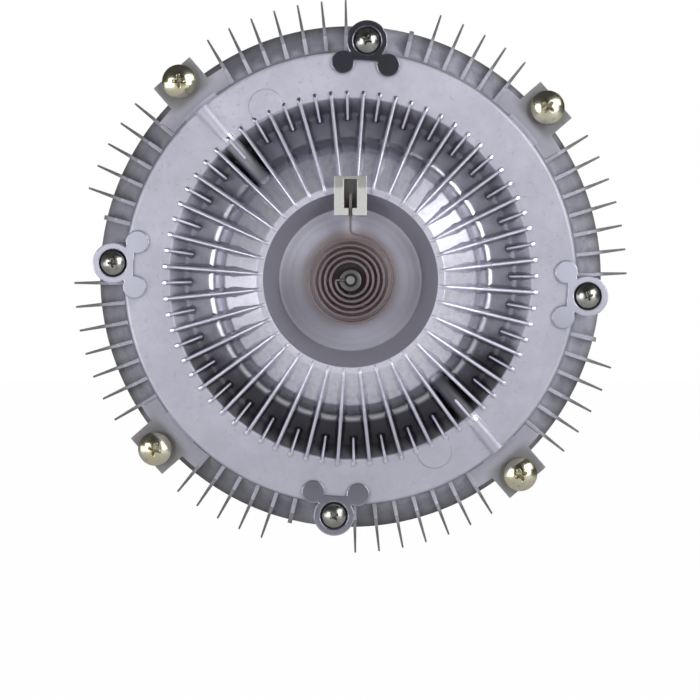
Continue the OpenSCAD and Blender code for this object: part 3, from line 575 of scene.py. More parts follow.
def place_group():
    """Place on the clutch in millimetres: distance from the axis, distance in front of the flange and
    distances from the nearest cover screw and fan screw, with the angle from that cover screw in degrees.
    Streaks is a tone that changes round the axis and hardly along a radius."""
    labels = ["Radius", "Depth", "Side", "Up", "Lug Angle", "Lug Reach", "Tab Reach", "Streaks"]
    tree, _, out = new_group("place_on_clutch", {}, labels)
    split = add(tree, "ShaderNodeSeparateXYZ")
    feed(tree, split.inputs[0], on_piece(tree))
    side = times(tree, split.outputs["X"], 1 / MM)
    up = times(tree, split.outputs["Z"], 1 / MM)
    radius = length(tree, side, up)
    angle = times(tree, calc(tree, "ARCTAN2", up, side), 180.0 / math.pi)
    from_lug = calc(tree, "PINGPONG", calc(tree, "ADD", angle, 360.0 - CLOCK), 180.0 / QUARTERS)
    from_tab = calc(tree, "SUBTRACT", TAB_AT, from_lug)
    ray = add(tree, "ShaderNodeCombineXYZ")
    feed(tree, ray.inputs["X"], calc(tree, "DIVIDE", side, radius))
    feed(tree, ray.inputs["Y"], calc(tree, "DIVIDE", up, radius))
    feed(tree, ray.inputs["Z"], times(tree, radius, STREAK_RUN))
    streaks = noise(tree, ray.outputs[0], scale=22.0, detail=4.0, roughness=0.7)
    put_out(tree, out, {
        "Radius": radius,
        "Depth": times(tree, split.outputs["Y"], -1 / MM),
        "Side": side,
        "Up": up,
        "Lug Angle": from_lug,
        "Lug Reach": screw_reach(tree, radius, from_lug, LUG_AT_R),
        "Tab Reach": screw_reach(tree, radius, from_tab, FAN_BOLT_R),
        "Streaks": ramp(tree, streaks, 0.4, 0.66),
    })
    return tree


def cast_group():
    """Skin of a sand-blasted casting: broad to fine patches of tone, small pits and a grain height."""
    tree, _, out = new_group("cast_skin", {}, ["Cloud", "Drift", "Mottle", "Pits", "Height"])
    where = on_piece(tree)
    pits = ramp(tree, noise(tree, where, scale=520.0, detail=2.0, roughness=0.5), 0.62, 0.74)
    grain = times(tree, noise(tree, where, scale=1500.0, detail=2.0, roughness=0.6), 0.7)
    put_out(tree, out, {
        "Cloud": ramp(tree, noise(tree, where, scale=42.0, detail=4.0, roughness=0.6), 0.32, 0.68),
        "Drift": ramp(tree, noise(tree, where, scale=17.0), 0.36, 0.64),
        "Mottle": ramp(tree, noise(tree, where, scale=150.0, detail=5.0, roughness=0.7), 0.38, 0.66),
        "Pits": pits,
        "Height": calc(tree, "SUBTRACT", grain, times(tree, pits, 0.5)),
    })
    return tree


def edge_group():
    """Rounded normal for crisp edges, and a mask of the edges that handling has rubbed bright."""
    tree, inside, out = new_group("rubbed_edges", {"Reach": 0.0006}, ["Mask", "Normal"])
    rounded = add(tree, "ShaderNodeBevel", samples=4)
    feed(tree, rounded.inputs["Radius"], inside.outputs["Reach"])
    match = add(tree, "ShaderNodeVectorMath", operation="DOT_PRODUCT")
    feed(tree, match.inputs[0], rounded.outputs["Normal"])
    feed(tree, match.inputs[1], add(tree, "ShaderNodeNewGeometry").outputs["Normal"])
    turned_away = calc(tree, "SUBTRACT", 1.0, match.outputs["Value"])
    broken = ramp(tree, noise(tree, on_piece(tree), scale=130.0), 0.35, 0.6, 0.25, 1.0)
    put_out(tree, out, {
        "Mask": times(tree, ramp(tree, turned_away, 0.02, 0.2), broken),
        "Normal": rounded.outputs["Normal"],
    })
    return tree


def corner_group():
    """Dirt and painted shade in inner corners, found by ambient occlusion and broken up by noise."""
    tree, inside, out = new_group("corner_dirt_and_shade", {"Reach": 0.004}, ["Mask"])
    corner = add(tree, "ShaderNodeAmbientOcclusion", samples=6)
    feed(tree, corner.inputs["Distance"], inside.outputs["Reach"])
    patches = noise(tree, on_piece(tree), scale=160.0, detail=4.0, roughness=0.65)
    broken = ramp(tree, patches, 0.3, 0.65, 0.45, 1.0)
    put_out(tree, out, {"Mask": times(tree, ramp(tree, corner.outputs["AO"], 0.9, 0.45), broken)})
    return tree


def turning_group():
    """Marks of the turning tool: tone and height that change with the distance from the axis and a little
    along it."""
    tree, inside, out = new_group("turning_marks", {"Pitch": 2.0}, ["Tone", "Height"])
    place = add(tree, "ShaderNodeGroup", node_tree=bpy.data.node_groups["place_on_clutch"])
    ring = add(tree, "ShaderNodeCombineXYZ")
    feed(tree, ring.inputs["X"], times(tree, place.outputs["Radius"], inside.outputs["Pitch"]))
    feed(tree, ring.inputs["Y"], times(tree, place.outputs["Depth"], TURNING_RUN))
    coarse = noise(tree, ring.outputs[0], scale=0.35, roughness=0.7)
    fine = noise(tree, ring.outputs[0], scale=2.4, detail=2.0, roughness=0.6)
    put_out(tree, out, {
        "Tone": ramp(tree, coarse, 0.3, 0.7),
        "Height": calc(tree, "ADD", fine, times(tree, coarse, 0.6)),
    })
    return tree


GROUPS = {
    "place": place_group(),
    "cast": cast_group(),
    "edge": edge_group(),
    "corner": corner_group(),
    "turning": turning_group(),
}


def use(tree, group, **values):
    """A group placed in a material with its own values."""
    made = add(tree, "ShaderNodeGroup", node_tree=GROUPS[group])
    for key, value in values.items():
        feed(tree, made.inputs[key], value)
    return made.outputs


# Finishes

def clutch_places(tree):
    """Values that mark out zones: the place on the clutch, and how far the surface faces along the axis."""
    where = {socket.name: socket for socket in use(tree, "place")}
    split = add(tree, "ShaderNodeSeparateXYZ")
    feed(tree, split.inputs[0], add(tree, "ShaderNodeTexCoord").outputs["Normal"])
    where["Facing"] = calc(tree, "ABSOLUTE", split.outputs["Y"])
    return where


def zone_masks(tree, where, zones):
    """Masks by name, each the product of smooth steps over named values. A step's limits are the value at
    which it is 0 and the value at which it is 1."""
    masks = {}
    for name, limits in zones.items():
        masks[name] = times(tree, *[ramp(tree, where[value], *pair) for value, *pair in limits])
    return SimpleNamespace(**masks)


def new_finish(name, metallic):
    """A material with one Principled shader."""
    finish = bpy.data.materials.new(name)
    tree = emptied(finish)
    shader = add(tree, "ShaderNodeBsdfPrincipled")
    shader.inputs["Metallic"].default_value = metallic
    out = add(tree, "ShaderNodeOutputMaterial")
    feed(tree, out.inputs["Surface"], shader.outputs["BSDF"])
    return finish, tree, shader


FINE_GRAIN = 0.0001
CAST_GRAIN = 0.00025


def dress(tree, shader, colour, rough, height, normal, strength, distance=FINE_GRAIN):
    """Colour and roughness into the shader, and height as a bump on a normal."""
    bump = add(tree, "ShaderNodeBump")
    bump.inputs["Strength"].default_value = strength
    bump.inputs["Distance"].default_value = distance
    feed(tree, bump.inputs["Height"], height)
    feed(tree, bump.inputs["Normal"], normal)
    feed(tree, shader.inputs["Base Color"], colour)
    feed(tree, shader.inputs["Roughness"], rough)
    feed(tree, shader.inputs["Normal"], bump.outputs["Normal"])


COVER_ZONES = {
    "outer": [("Radius", 78.0, 82.0)],
    "low_ring": [("Up", 95.0, -110.0), ("Radius", 80.0, 84.0)],
    "low": [("Shade Level", 0.0, -45.0)],
    "slope": [("Facing", 0.85, 0.65), ("Depth", 80.1, 79.0)],
    "sunk": [("Depth", 76.9, 75.2)],
    "recess": [("Radius", 60.5, 63.5), ("Radius", 86.0, 82.0)],
    "rib": [("Radius", 58.2, 58.8), ("Radius", 82.6, 81.8), ("Off Rib", RIB_R + 0.3, RIB_R),
            ("Depth", 81.7, 81.5)],
    "off_sides": [("Off Level", 20.0, 62.0)],
    "upright": [("Facing", 0.5, 0.2)],
    "hub": [("Radius", 61.0, 58.0), ("Radius", 41.0, 42.5)],
    "left": [("Side", -25.0, -52.0)],
    "facet": [("Radius", 83.6, 83.9), ("Radius", 86.4, 86.0), ("Depth", 79.9, 80.1),
              ("Facing", 0.985, 0.95)],
    "foot": [("Radius", 59.0, 60.5), ("Radius", 66.5, 64.5), ("Depth", 79.0, 77.0)],
    "past_hub": [("Radius", 60.0, 66.0)],
    "cup_wall": [("Radius", 39.6, 39.2), ("Depth", 80.4, 81.2)],
    "cup_floor": [("Radius", 39.6, 39.2), ("Depth", 80.9, 80.3)],
    "under_coil": [("Radius", 23.5, 20.5)],
    "floor_low": [("Up", 18.0, -16.0)],
    "pad": [("Radius", 90.0, 91.0), ("Lug Angle", 11.5, 10.5), ("Depth", 80.7, 80.9)],
    "spot": [("Lug Reach", 6.7, 6.5), ("Depth", 80.9, 80.6)],
    "pocket": [("Off Side", 3.05, 2.85), ("Up", 29.0, 29.5), ("Radius", 46.0, 45.4),
               ("Depth", 95.4, 94.9)],
    "block": [("Depth", 94.8, 95.3)],
}
# Wavy level and shares of the painted shade that darkens the recess towards the bottom
SHADE_WAVE = 18.0
SHADE_RANGE = (0.1, 0.9)
# Several tones here are painted shade: those of the ring's lower part, the rib, the recess with its slope
# and walls, the inner corners and the spot faces, and part of the floor under the coil
COVER_TONE = SimpleNamespace(
    cast_dark=(0.62, 0.615, 0.73, 1),
    cast_light=(0.74, 0.735, 0.86, 1),
    stain=(0.40, 0.40, 0.48, 1),
    mottle=(0.40, 0.40, 0.47, 1),
    ring_low_shade=(0.34, 0.34, 0.41, 1),
    pit=(0.36, 0.36, 0.41, 1),
    rib_recess_shade=(0.26, 0.26, 0.295, 1),
    recess_shade=(0.09, 0.09, 0.105, 1),
    slope_shade=(0.15, 0.14, 0.145, 1),
    wall_shade=(0.11, 0.11, 0.12, 1),
    hub=(0.87, 0.87, 0.97, 1),
    hub_streak=(0.45, 0.45, 0.53, 1),
    hub_shade=(0.45, 0.45, 0.52, 1),
    facet=(0.86, 0.86, 0.92, 1),
    foot=(0.86, 0.86, 0.94, 1),
    corner_dirt_and_shade=(0.13, 0.13, 0.14, 1),
    cup_wall=(0.28, 0.28, 0.33, 1),
    floor_dark=(0.60, 0.60, 0.72, 1),
    floor_light=(0.78, 0.78, 0.90, 1),
    floor_stain=(0.42, 0.41, 0.47, 1),
    floor_oil_and_shade=(0.46, 0.39, 0.385, 1),
    floor_shade=(0.30, 0.30, 0.36, 1),
    pad=(0.72, 0.73, 0.87, 1),
    spot_shadow=(0.02, 0.02, 0.022, 1),
    pocket=(0.62, 0.60, 0.60, 1),
    block=(0.76, 0.76, 0.74, 1),
    rubbed=(0.86, 0.86, 0.91, 1),
)


def cover_places(tree, cast):
    """Values that mark out the cover's zones: also the distances from the upright and the level middle
    plane and from the ribs' line, and a wavy height that the painted shade in the recess follows."""
    where = clutch_places(tree)
    rib_turn = math.radians(RIB_AT[0] + CLOCK)
    off_rib = calc(tree, "SUBTRACT", times(tree, where["Side"], math.sin(rib_turn)),
                   times(tree, where["Up"], math.cos(rib_turn)))
    where["Off Side"] = calc(tree, "ABSOLUTE", where["Side"])
    where["Off Level"] = calc(tree, "ABSOLUTE", where["Up"])
    where["Off Rib"] = calc(tree, "ABSOLUTE", off_rib)
    where["Shade Level"] = calc(tree, "ADD", where["Up"], times(tree, cast["Cloud"], SHADE_WAVE))
    return where


def cover_colour(tree, zone, cast, marks, streaks, worn):
    """Colour of the cover: casting, painted shade, hub, turned cup floor and machined places, in this
    order.
    """
    tone = COVER_TONE
    # Painted shade deep in the recess and on the rib, darker towards the bottom along a wavy level
    shade_zone = most(tree, times(tree, zone.recess, most(tree, zone.slope, zone.sunk)), zone.rib)
    lower_shade = ramp(tree, zone.low, 0.0, 1.0, *SHADE_RANGE)
    corners = use(tree, "corner", Reach=0.005)["Mask"]
    floor = blend_colour(tree, marks["Tone"], tone.floor_dark, tone.floor_light)
    floor = coated(tree, floor, [
        (cast["Cloud"], 0.35, tone.floor_stain),
        # oil and painted shade on the cup floor under the coil
        (zone.under_coil, 0.8, tone.floor_oil_and_shade),
        (zone.floor_low, 0.6, tone.floor_shade),
    ])
    skin = blend_colour(tree, cast["Cloud"], tone.cast_dark, tone.cast_light)
    return coated(tree, skin, [
        (cast["Drift"], 0.36, tone.stain),
        (times(tree, cast["Mottle"], zone.outer), 0.18, tone.mottle),
        # painted shade: the ring darker towards the bottom
        (zone.low_ring, 0.48, tone.ring_low_shade),
        (cast["Pits"], 0.35, tone.pit),
        # painted shade: the rib inside the recess darkened to the recess's shaded tone
        (zone.rib, 0.9, tone.rib_recess_shade),
        # painted shade: deep in the recess and on the rib, darker towards the bottom
        (times(tree, shade_zone, lower_shade), 1.0, tone.recess_shade),
        # painted shade on the recess slope, above and below the middle
        (times(tree, shade_zone, zone.slope, zone.off_sides), 0.45, tone.slope_shade),
        # painted shade on the recess's upright walls
        (times(tree, shade_zone, zone.upright), 0.75, tone.wall_shade),
        (zone.hub, 0.85, tone.hub),
        (times(tree, zone.hub, streaks), 0.3, tone.hub_streak),
        (times(tree, zone.hub, zone.left), 0.5, tone.hub_shade),
        (zone.facet, 0.9, tone.facet),
        (zone.foot, 0.85, tone.foot),
        # dirt and painted shade in inner corners
        (times(tree, corners, zone.past_hub), 0.45, tone.corner_dirt_and_shade),
        (zone.cup_wall, 1.0, tone.cup_wall),
        (zone.cup_floor, 1.0, floor),
        (zone.pad, 0.9, tone.pad),
        # painted shadow in the spot faces round the cover screw heads
        (zone.spot, 1.0, tone.spot_shadow),
        (zone.pocket, 1.0, tone.pocket),
        (zone.block, 1.0, tone.block),
        (worn, 0.38, tone.rubbed),
    ])


def cover_finish(name, metallic):
    """Front cover: blasted casting, machined pads, cup floor and coil block, painted shade in the recess,
    oil and painted shade in the cup under the coil, and painted shadow in the spot faces."""
    finish, tree, shader = new_finish(name, metallic)
    cast = use(tree, "cast")
    marks = use(tree, "turning", Pitch=2.0)
    where = cover_places(tree, cast)
    zone = zone_masks(tree, where, COVER_ZONES)
    edge = use(tree, "edge", Reach=blend_value(tree, zone.foot, 0.0007, 0.0024))
    worn = times(tree, edge["Mask"], calc(tree, "SUBTRACT", 1.0, zone.pad))
    skin = cover_colour(tree, zone, cast, marks, where["Streaks"], worn)
    rough = blend_value(tree, cast["Cloud"], 0.50, 0.42)
    for mask, own_rough in [
        (zone.hub, 0.36),
        (most(tree, zone.facet, zone.foot), 0.28),
        (zone.cup_floor, 0.3),
        (zone.block, 0.3),
        (zone.pad, 0.15),
        (times(tree, worn, 0.6), 0.3),
    ]:
        rough = blend_value(tree, mask, rough, own_rough)
    bare = most(tree, times(tree, zone.pad, 0.96), times(tree, zone.hub, 0.62), zone.facet,
                times(tree, zone.foot, 0.9))
    bare = times(tree, bare, calc(tree, "SUBTRACT", 1.0, zone.pocket))
    feed(tree, shader.inputs["Metallic"], blend_value(tree, bare, metallic, 1.0))
    height = blend_value(tree, most(tree, zone.cup_floor, zone.block), cast["Height"],
                         times(tree, marks["Height"], 0.5))
    height = blend_value(tree, zone.pad, height, 0.0)
    dress(tree, shader, skin, rough, height, edge["Normal"], strength=0.3, distance=CAST_GRAIN)
    return finish


BODY_ZONES = {
    "low_left": [("Slant", 60.0, -170.0)],
    "under_cover_shadow": [("Radius", 107.0, 103.5), ("Depth", 56.0, 60.0)],
    "tip": [("Radius", 113.0, 119.0), ("Depth", 64.0, 61.0)],
    "front": [("Depth", 61.5, 63.5), ("Facing", 0.8, 0.95)],
    "tab": [("Tab Reach", 32.0, 22.0)],
    "screw": [("Tab Reach", 18.0, 9.0), ("Radius", 108.0, 112.0)],
}
# Painted shade among these tones: towards the lower left, under the cover's edge, in inner corners and
# round the screw heads
BODY_TONE = SimpleNamespace(
    cast_dark=(0.62, 0.62, 0.73, 1),
    cast_light=(0.82, 0.82, 0.95, 1),
    stain=(0.28, 0.28, 0.32, 1),
    mottle=(0.30, 0.30, 0.35, 1),
    pit=(0.2, 0.2, 0.22, 1),
    low_left_shade=(0.22, 0.22, 0.25, 1),
    under_cover_shadow=(0.1, 0.1, 0.11, 1),
    corner_dirt_and_shade=(0.11, 0.11, 0.125, 1),
    tip=(0.15, 0.145, 0.14, 1),
    front=(0.64, 0.635, 0.73, 1),
    tab=(0.38, 0.38, 0.44, 1),
    oil=(0.2, 0.195, 0.185, 1),
    rubbed=(0.74, 0.74, 0.78, 1),
)


def body_finish():
    """Rear body: blasted casting, darker than the cover, browned on the fin tips by heat and oil."""
    finish, tree, shader = new_finish("cast_aluminium_body", 0.35)
    tone = BODY_TONE
    cast = use(tree, "cast")
    edge = use(tree, "edge", Reach=0.0006)
    where = clutch_places(tree)
    where["Slant"] = calc(tree, "ADD", where["Side"], where["Up"])
    zone = zone_masks(tree, where, BODY_ZONES)
    skin = blend_colour(tree, cast["Cloud"], tone.cast_dark, tone.cast_light)
    skin = coated(tree, skin, [
        (cast["Drift"], 0.42, tone.stain),
        (cast["Mottle"], 0.3, tone.mottle),
        (cast["Pits"], 0.4, tone.pit),
        # painted shade: the body darker towards the lower left
        (zone.low_left, 0.6, tone.low_left_shade),
        # painted shadow on the body under the cover's edge
        (zone.under_cover_shadow, 0.7, tone.under_cover_shadow),
        # dirt and painted shade in inner corners
        (use(tree, "corner", Reach=0.006)["Mask"], 0.6, tone.corner_dirt_and_shade),
        (zone.tip, 0.8, tone.tip),
        (zone.front, 0.85, tone.front),
        (times(tree, zone.front, zone.tab), 0.45, tone.tab),
        # oil and painted shadow round the fan screw heads
        (times(tree, zone.front, zone.screw), 0.8, tone.oil),
        (edge["Mask"], 0.45, tone.rubbed),
    ])
    rough = blend_value(tree, cast["Cloud"], 0.52, 0.43)
    dress(tree, shader, skin, rough, cast["Height"], edge["Normal"], strength=0.4, distance=CAST_GRAIN)
    return finish


PIN_ZONES = {
    "groove": [("Radius", 1.85, 2.0), ("Radius", 3.2, 3.0)],
    "dot": [("Radius", 1.9, 1.7)],
    "sides": [("Depth", 94.8, 94.2)],
}
PIN_TONE = SimpleNamespace(
    dark=(0.2, 0.2, 0.21, 1),
    light=(0.36, 0.36, 0.37, 1),
    groove=(0.025, 0.022, 0.02, 1),
    dot=(0.55, 0.55, 0.56, 1),
    sides=(0.10, 0.09, 0.09, 1),
    rubbed=(0.85, 0.85, 0.87, 1),
)


def pin_finish():
    """End of the valve shaft: a bright centre dot, painted shade in its groove and on its sides, and a
    turned face round it.
    """
    finish, tree, shader = new_finish("valve_pin_steel", 1.0)
    zone = zone_masks(tree, use(tree, "place"), PIN_ZONES)
    marks = use(tree, "turning", Pitch=3.0)
    edge = use(tree, "edge", Reach=0.0003)
    skin = blend_colour(tree, marks["Tone"], PIN_TONE.dark, PIN_TONE.light)
    skin = coated(tree, skin, [
        # painted shade in the groove
        (zone.groove, 1.0, PIN_TONE.groove),
        (zone.dot, 1.0, PIN_TONE.dot),
        # painted shade on the pin's sides
        (zone.sides, 0.9, PIN_TONE.sides),
        (edge["Mask"], 0.3, PIN_TONE.rubbed),
    ])
    rough = blend_value(tree, marks["Tone"], 0.42, 0.34)
    dress(tree, shader, skin, rough, marks["Height"], edge["Normal"], strength=0.2)
    return finish


def turned_finish(name, dark, light, rough_low, rough_high, pitch):
    """Turned or ground metal: rings of the tool in tone, gloss and height, with rubbed edges."""
    rubbed = (0.9, 0.9, 0.92, 1)
    finish, tree, shader = new_finish(name, 1.0)
    marks = use(tree, "turning", Pitch=pitch)
    edge = use(tree, "edge", Reach=0.0004)
    cast = use(tree, "cast")
    skin = blend_colour(tree, marks["Tone"], dark, light)
    skin = coated(tree, skin, [(cast["Cloud"], 0.25, dark), (edge["Mask"], 0.4, rubbed)])
    rough = blend_value(tree, marks["Tone"], rough_high, rough_low)
    dress(tree, shader, skin, rough, marks["Height"], edge["Normal"], strength=0.25)
    return finish


def plated_finish(name, base, tint, stain, rough):
    """Zinc plating or pressed brass: a cloudy tint over the base colour, stained pits and rubbed edges."""
    rubbed = (0.92, 0.91, 0.86, 1)
    finish, tree, shader = new_finish(name, 1.0)
    cast = use(tree, "cast")
    edge = use(tree, "edge", Reach=0.0003)
    drift = ramp(tree, noise(tree, on_piece(tree), scale=210.0, detail=2.0), 0.35, 0.65)
    skin = blend_colour(tree, drift, base, tint)
    skin = coated(tree, skin, [(cast["Pits"], 0.6, stain), (edge["Mask"], 0.35, rubbed)])
    rough = blend_value(tree, drift, rough, rough + 0.1)
    dress(tree, shader, skin, rough, cast["Height"], edge["Normal"], strength=0.04)
    return finish


COIL_ZONES = {
    "front": [("Depth", 93.5, 94.05)],
    "tail": [("Up", 22.0, 24.0)],
}
COIL_TONE = SimpleNamespace(
    straw=(0.62, 0.47, 0.46, 1),
    purple=(0.58, 0.46, 0.49, 1),
    front=(0.19, 0.15, 0.16, 1),
    tail=(0.2, 0.18, 0.18, 1),
    rubbed=(0.3, 0.25, 0.27, 1),
)


def coil_finish():
    """Bimetal strip: heat tints from straw to purple on its sides, and a dark front edge and tail."""
    finish, tree, shader = new_finish("heat_tinted_bimetal", 0.35)
    cast = use(tree, "cast")
    edge = use(tree, "edge", Reach=0.0003)
    zone = zone_masks(tree, use(tree, "place"), COIL_ZONES)
    drift = ramp(tree, noise(tree, on_piece(tree), scale=90.0), 0.3, 0.7)
    skin = blend_colour(tree, drift, COIL_TONE.straw, COIL_TONE.purple)
    skin = coated(tree, skin, [
        (zone.front, 0.95, COIL_TONE.front),
        (zone.tail, 0.8, COIL_TONE.tail),
        (edge["Mask"], 0.2, COIL_TONE.rubbed),
    ])
    rough = blend_value(tree, drift, 0.34, 0.46)
    dress(tree, shader, skin, rough, cast["Height"], edge["Normal"], strength=0.15)
    return finish


def rubber_finish():
    """Black rubber: matt, with a greyed bloom in patches."""
    finish, tree, shader = new_finish("black_rubber", 0.0)
    cast = use(tree, "cast")
    edge = use(tree, "edge", Reach=0.0003)
    skin = blend_colour(tree, cast["Cloud"], (0.022, 0.022, 0.024, 1), (0.05, 0.05, 0.052, 1))
    rough = blend_value(tree, cast["Cloud"], 0.55, 0.72)
    dress(tree, shader, skin, rough, cast["Height"], edge["Normal"], strength=0.2)
    return finish


COVER = cover_finish("cast_aluminium_cover", 0.3)
FINS = cover_finish("cast_aluminium_fins", 0.7)
BODY = body_finish()
TURNED = turned_finish("turned_aluminium", dark=(0.56, 0.57, 0.60, 1), light=(0.72, 0.73, 0.76, 1),
                       rough_low=0.25, rough_high=0.36, pitch=1.6)
STEEL = turned_finish("ground_steel", dark=(0.26, 0.265, 0.28, 1), light=(0.42, 0.425, 0.44, 1),
                      rough_low=0.24, rough_high=0.38, pitch=3.0)
BRIGHT = turned_finish("bearing_steel", dark=(0.50, 0.505, 0.52, 1), light=(0.66, 0.665, 0.68, 1),
                       rough_low=0.14, rough_high=0.26, pitch=4.0)
ZINC = plated_finish("bright_zinc", base=(0.36, 0.36, 0.34, 1), tint=(0.45, 0.44, 0.41, 1),
                     stain=(0.18, 0.18, 0.17, 1), rough=0.2)
YELLOW = plated_finish("yellow_zinc", base=(0.80, 0.74, 0.52, 1), tint=(0.74, 0.70, 0.58, 1),
                       stain=(0.36, 0.31, 0.2, 1), rough=0.17)
BRASS = plated_finish("pressed_brass", base=(0.55, 0.42, 0.17, 1), tint=(0.62, 0.50, 0.24, 1),
                      stain=(0.3, 0.2, 0.08, 1), rough=0.28)
PIN = pin_finish()
BIMETAL = coil_finish()
RUBBER = rubber_finish()

NODE_FINISH = {
    "drive_shaft": STEEL,
    "bearing_inner_ring": BRIGHT,
    "bearing_outer_ring": BRIGHT,
    "bearing_balls": BRIGHT,
    "bearing_cage": BRASS,
    "bearing_seal_rear": RUBBER,
    "bearing_seal_front": RUBBER,
    "bearing_circlip": STEEL,
    "rotor": TURNED,
    "rotor_circlip": STEEL,
    "rear_body": BODY,
    "front_cover": COVER,
    "cover_seal": RUBBER,
    "separator_plate": BRIGHT,
    "separator_screws": STEEL,
    "valve_arm": BRIGHT,
    "valve_shaft": PIN,
    "valve_shaft_seal": RUBBER,
    "bimetal_coil": BIMETAL,
    "cover_screws": ZINC,
    "fan_screws": YELLOW,
    "return_passage_plugs": STEEL,
}
for node_name, finish in NODE_FINISH.items():
    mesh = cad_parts[node_name].data
    mesh.materials.clear()
    mesh.materials.append(finish)

# Pieces

fins = make_piece("cover_fins", cover_fin_shells(), FINS)
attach(fins, "housing")

fan_shells = screw_set(screw_shell(**FAN_SCREW), FAN_BOLT_R, TAB_AT, TAB_Z, FAN_HEAD_TURNS)
fan_set = make_piece("fan_screw_set", fan_shells, YELLOW)
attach(fan_set, "housing")
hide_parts("fan_screws")

cover_shells = screw_set(screw_shell(**COVER_SCREW), LUG_AT_R, 0.0, COVER_HEAD_Z, COVER_HEAD_TURNS)
cover_set = make_piece("cover_screw_set", cover_shells, ZINC)
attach(cover_set, "housing")
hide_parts("cover_screws")

line_points, line_share = coil_line()
coil = make_piece("bimetal_coil_strip", [coil_shell(line_points)], BIMETAL, sharp_degrees=50.0)
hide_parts("bimetal_coil")
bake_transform(coil)
# Positions of the strip's points, read back from its mesh
coil_points = np.zeros(len(coil.data.vertices) * 3)
coil.data.vertices.foreach_get("co", coil_points)

# Studio, in metres

scene = bpy.context.scene
scene.view_settings.view_transform = "Standard"
DISC_CENTRE = Vector((0.0, -RING_Z * MM, 0.0))
CAMERA_DISTANCE = 1.0
CAMERA_ABOVE = math.radians(1.2)
LENS = 113.0
SENSOR = 36.0
IMAGE_SIDE = 700.0
DISC_PIXEL = (350.5, 279.5)
FLOOR_HALF = 4.0
FLOOR_LEVEL = -0.32
FLOOR_WHITE = (0.8, 0.8, 0.8, 1)
FLOOR_SEEN = 0.99
ROOM_TONE = (0.06, 0.06, 0.063, 1)
ROOM_FRONT_TONE = (0.012, 0.012, 0.013, 1)
ROOM_FRONT_WAY = (-0.55, -0.9)
BACKDROP_WAY = (0.25, 0.75)
BACKDROP_LIGHT = 0.4
SIDE_BOX = dict(distance=1.3, width=0.55, height=1.05, watts=8.2)
KICKER = dict(distance=1.2, width=0.5, height=0.5, watts=1.5)
STRIP_BOX = dict(distance=1.3, width=0.2, height=0.2, watts=0.115)
TOP_BOX = dict(distance=1.3, width=1.2, height=0.5, watts=3.2, mirrored=False)


def studio_camera():
    """Camera a little above the axis, tilted so that the disc's centre falls on its pixel of the photo."""
    data = bpy.data.cameras.new("camera")
    data.lens = LENS
    data.sensor_width = SENSOR
    camera = bpy.data.objects.new("camera", data)
    scene.collection.objects.link(camera)
    back = Vector((0.0, -math.cos(CAMERA_ABOVE), math.sin(CAMERA_ABOVE)))
    camera.location = DISC_CENTRE + back * CAMERA_DISTANCE
    pixels = IMAGE_SIDE * LENS / SENSOR
    down = math.atan((IMAGE_SIDE / 2 - DISC_PIXEL[1]) / pixels)
    side = math.atan((DISC_PIXEL[0] - IMAGE_SIDE / 2) / pixels)
    camera.rotation_euler = (math.radians(90.0) - CAMERA_ABOVE - down, 0.0, side)
    scene.camera = camera


def softbox(name, azimuth, elevation, distance, width, height, watts, mirrored=True):
    """Rectangular soft light at an angle round the disc, facing its centre, mirrored in metal or not."""
    data = bpy.data.lights.new(name, "AREA")
    data.shape = "RECTANGLE"
    data.size = width
    data.size_y = height
    data.energy = watts
    lamp = bpy.data.objects.new(name, data)
    scene.collection.objects.link(lamp)
    a = math.radians(azimuth)
    e = math.radians(elevation)
    away = Vector((math.sin(a) * math.cos(e), -math.cos(a) * math.cos(e), math.sin(e)))
    lamp.visible_glossy = mirrored
    lamp.location = DISC_CENTRE + away * distance
    lamp.rotation_euler = (-away).to_track_quat("-Z", "Y").to_euler()


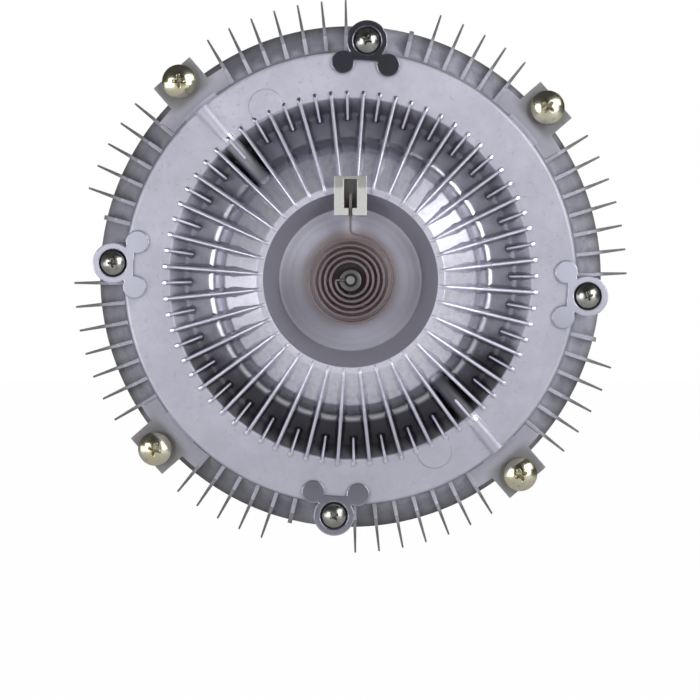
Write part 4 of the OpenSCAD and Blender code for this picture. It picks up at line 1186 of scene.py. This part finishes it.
def studio_world():
    """White backdrop for the camera and behind the clutch, and a dim room that is darkest in front."""
    world = bpy.data.worlds.new("studio")
    tree = emptied(world)
    way = add(tree, "ShaderNodeSeparateXYZ")
    feed(tree, way.inputs[0], add(tree, "ShaderNodeTexCoord").outputs["Generated"])
    in_front = ramp(tree, way.outputs["Y"], *ROOM_FRONT_WAY)
    room = add(tree, "ShaderNodeBackground")
    feed(tree, room.inputs["Color"], blend_colour(tree, in_front, ROOM_TONE, ROOM_FRONT_TONE))
    backdrop = add(tree, "ShaderNodeBackground")
    backdrop.inputs["Color"].default_value = (1, 1, 1, 1)
    behind = ramp(tree, way.outputs["Y"], *BACKDROP_WAY)
    path = add(tree, "ShaderNodeLightPath")
    shiny = most(tree, path.outputs["Is Glossy Ray"], path.outputs["Is Transmission Ray"])
    white = most(tree, path.outputs["Is Camera Ray"], times(tree, shiny, behind),
                 times(tree, behind, BACKDROP_LIGHT))
    mix_shaders(tree, white, room, backdrop, "ShaderNodeOutputWorld")
    scene.world = world


def studio_floor():
    """Plain white floor below the clutch, which keeps a soft shadow."""
    mesh = bpy.data.meshes.new("floor")
    signs = ((-1, -1), (1, -1), (1, 1), (-1, 1))
    corners = [(x * FLOOR_HALF, y * FLOOR_HALF, FLOOR_LEVEL) for x, y in signs]
    mesh.from_pydata(corners, [], [(0, 1, 2, 3)])
    paint = bpy.data.materials.new("floor_white")
    tree = emptied(paint)
    matt = add(tree, "ShaderNodeBsdfDiffuse")
    matt.inputs["Color"].default_value = FLOOR_WHITE
    glow = add(tree, "ShaderNodeEmission")
    seen = add(tree, "ShaderNodeLightPath").outputs["Is Camera Ray"]
    mix_shaders(tree, times(tree, seen, FLOOR_SEEN), matt, glow, "ShaderNodeOutputMaterial")
    mesh.materials.append(paint)
    floor = bpy.data.objects.new("floor", mesh)
    scene.collection.objects.link(floor)


studio_camera()
studio_world()
studio_floor()
softbox("softbox_left", azimuth=-43.0, elevation=-4.0, **SIDE_BOX)
softbox("softbox_right", azimuth=43.0, elevation=14.0, **SIDE_BOX)
softbox("kicker_left", azimuth=-67.0, elevation=-9.0, **KICKER)
softbox("kicker_right", azimuth=62.0, elevation=26.0, **KICKER)
softbox("strip_left", azimuth=-11.5, elevation=0.0, **STRIP_BOX)
softbox("strip_right", azimuth=11.5, elevation=0.0, **STRIP_BOX)
softbox("softbox_top", azimuth=0.0, elevation=58.0, **TOP_BOX)
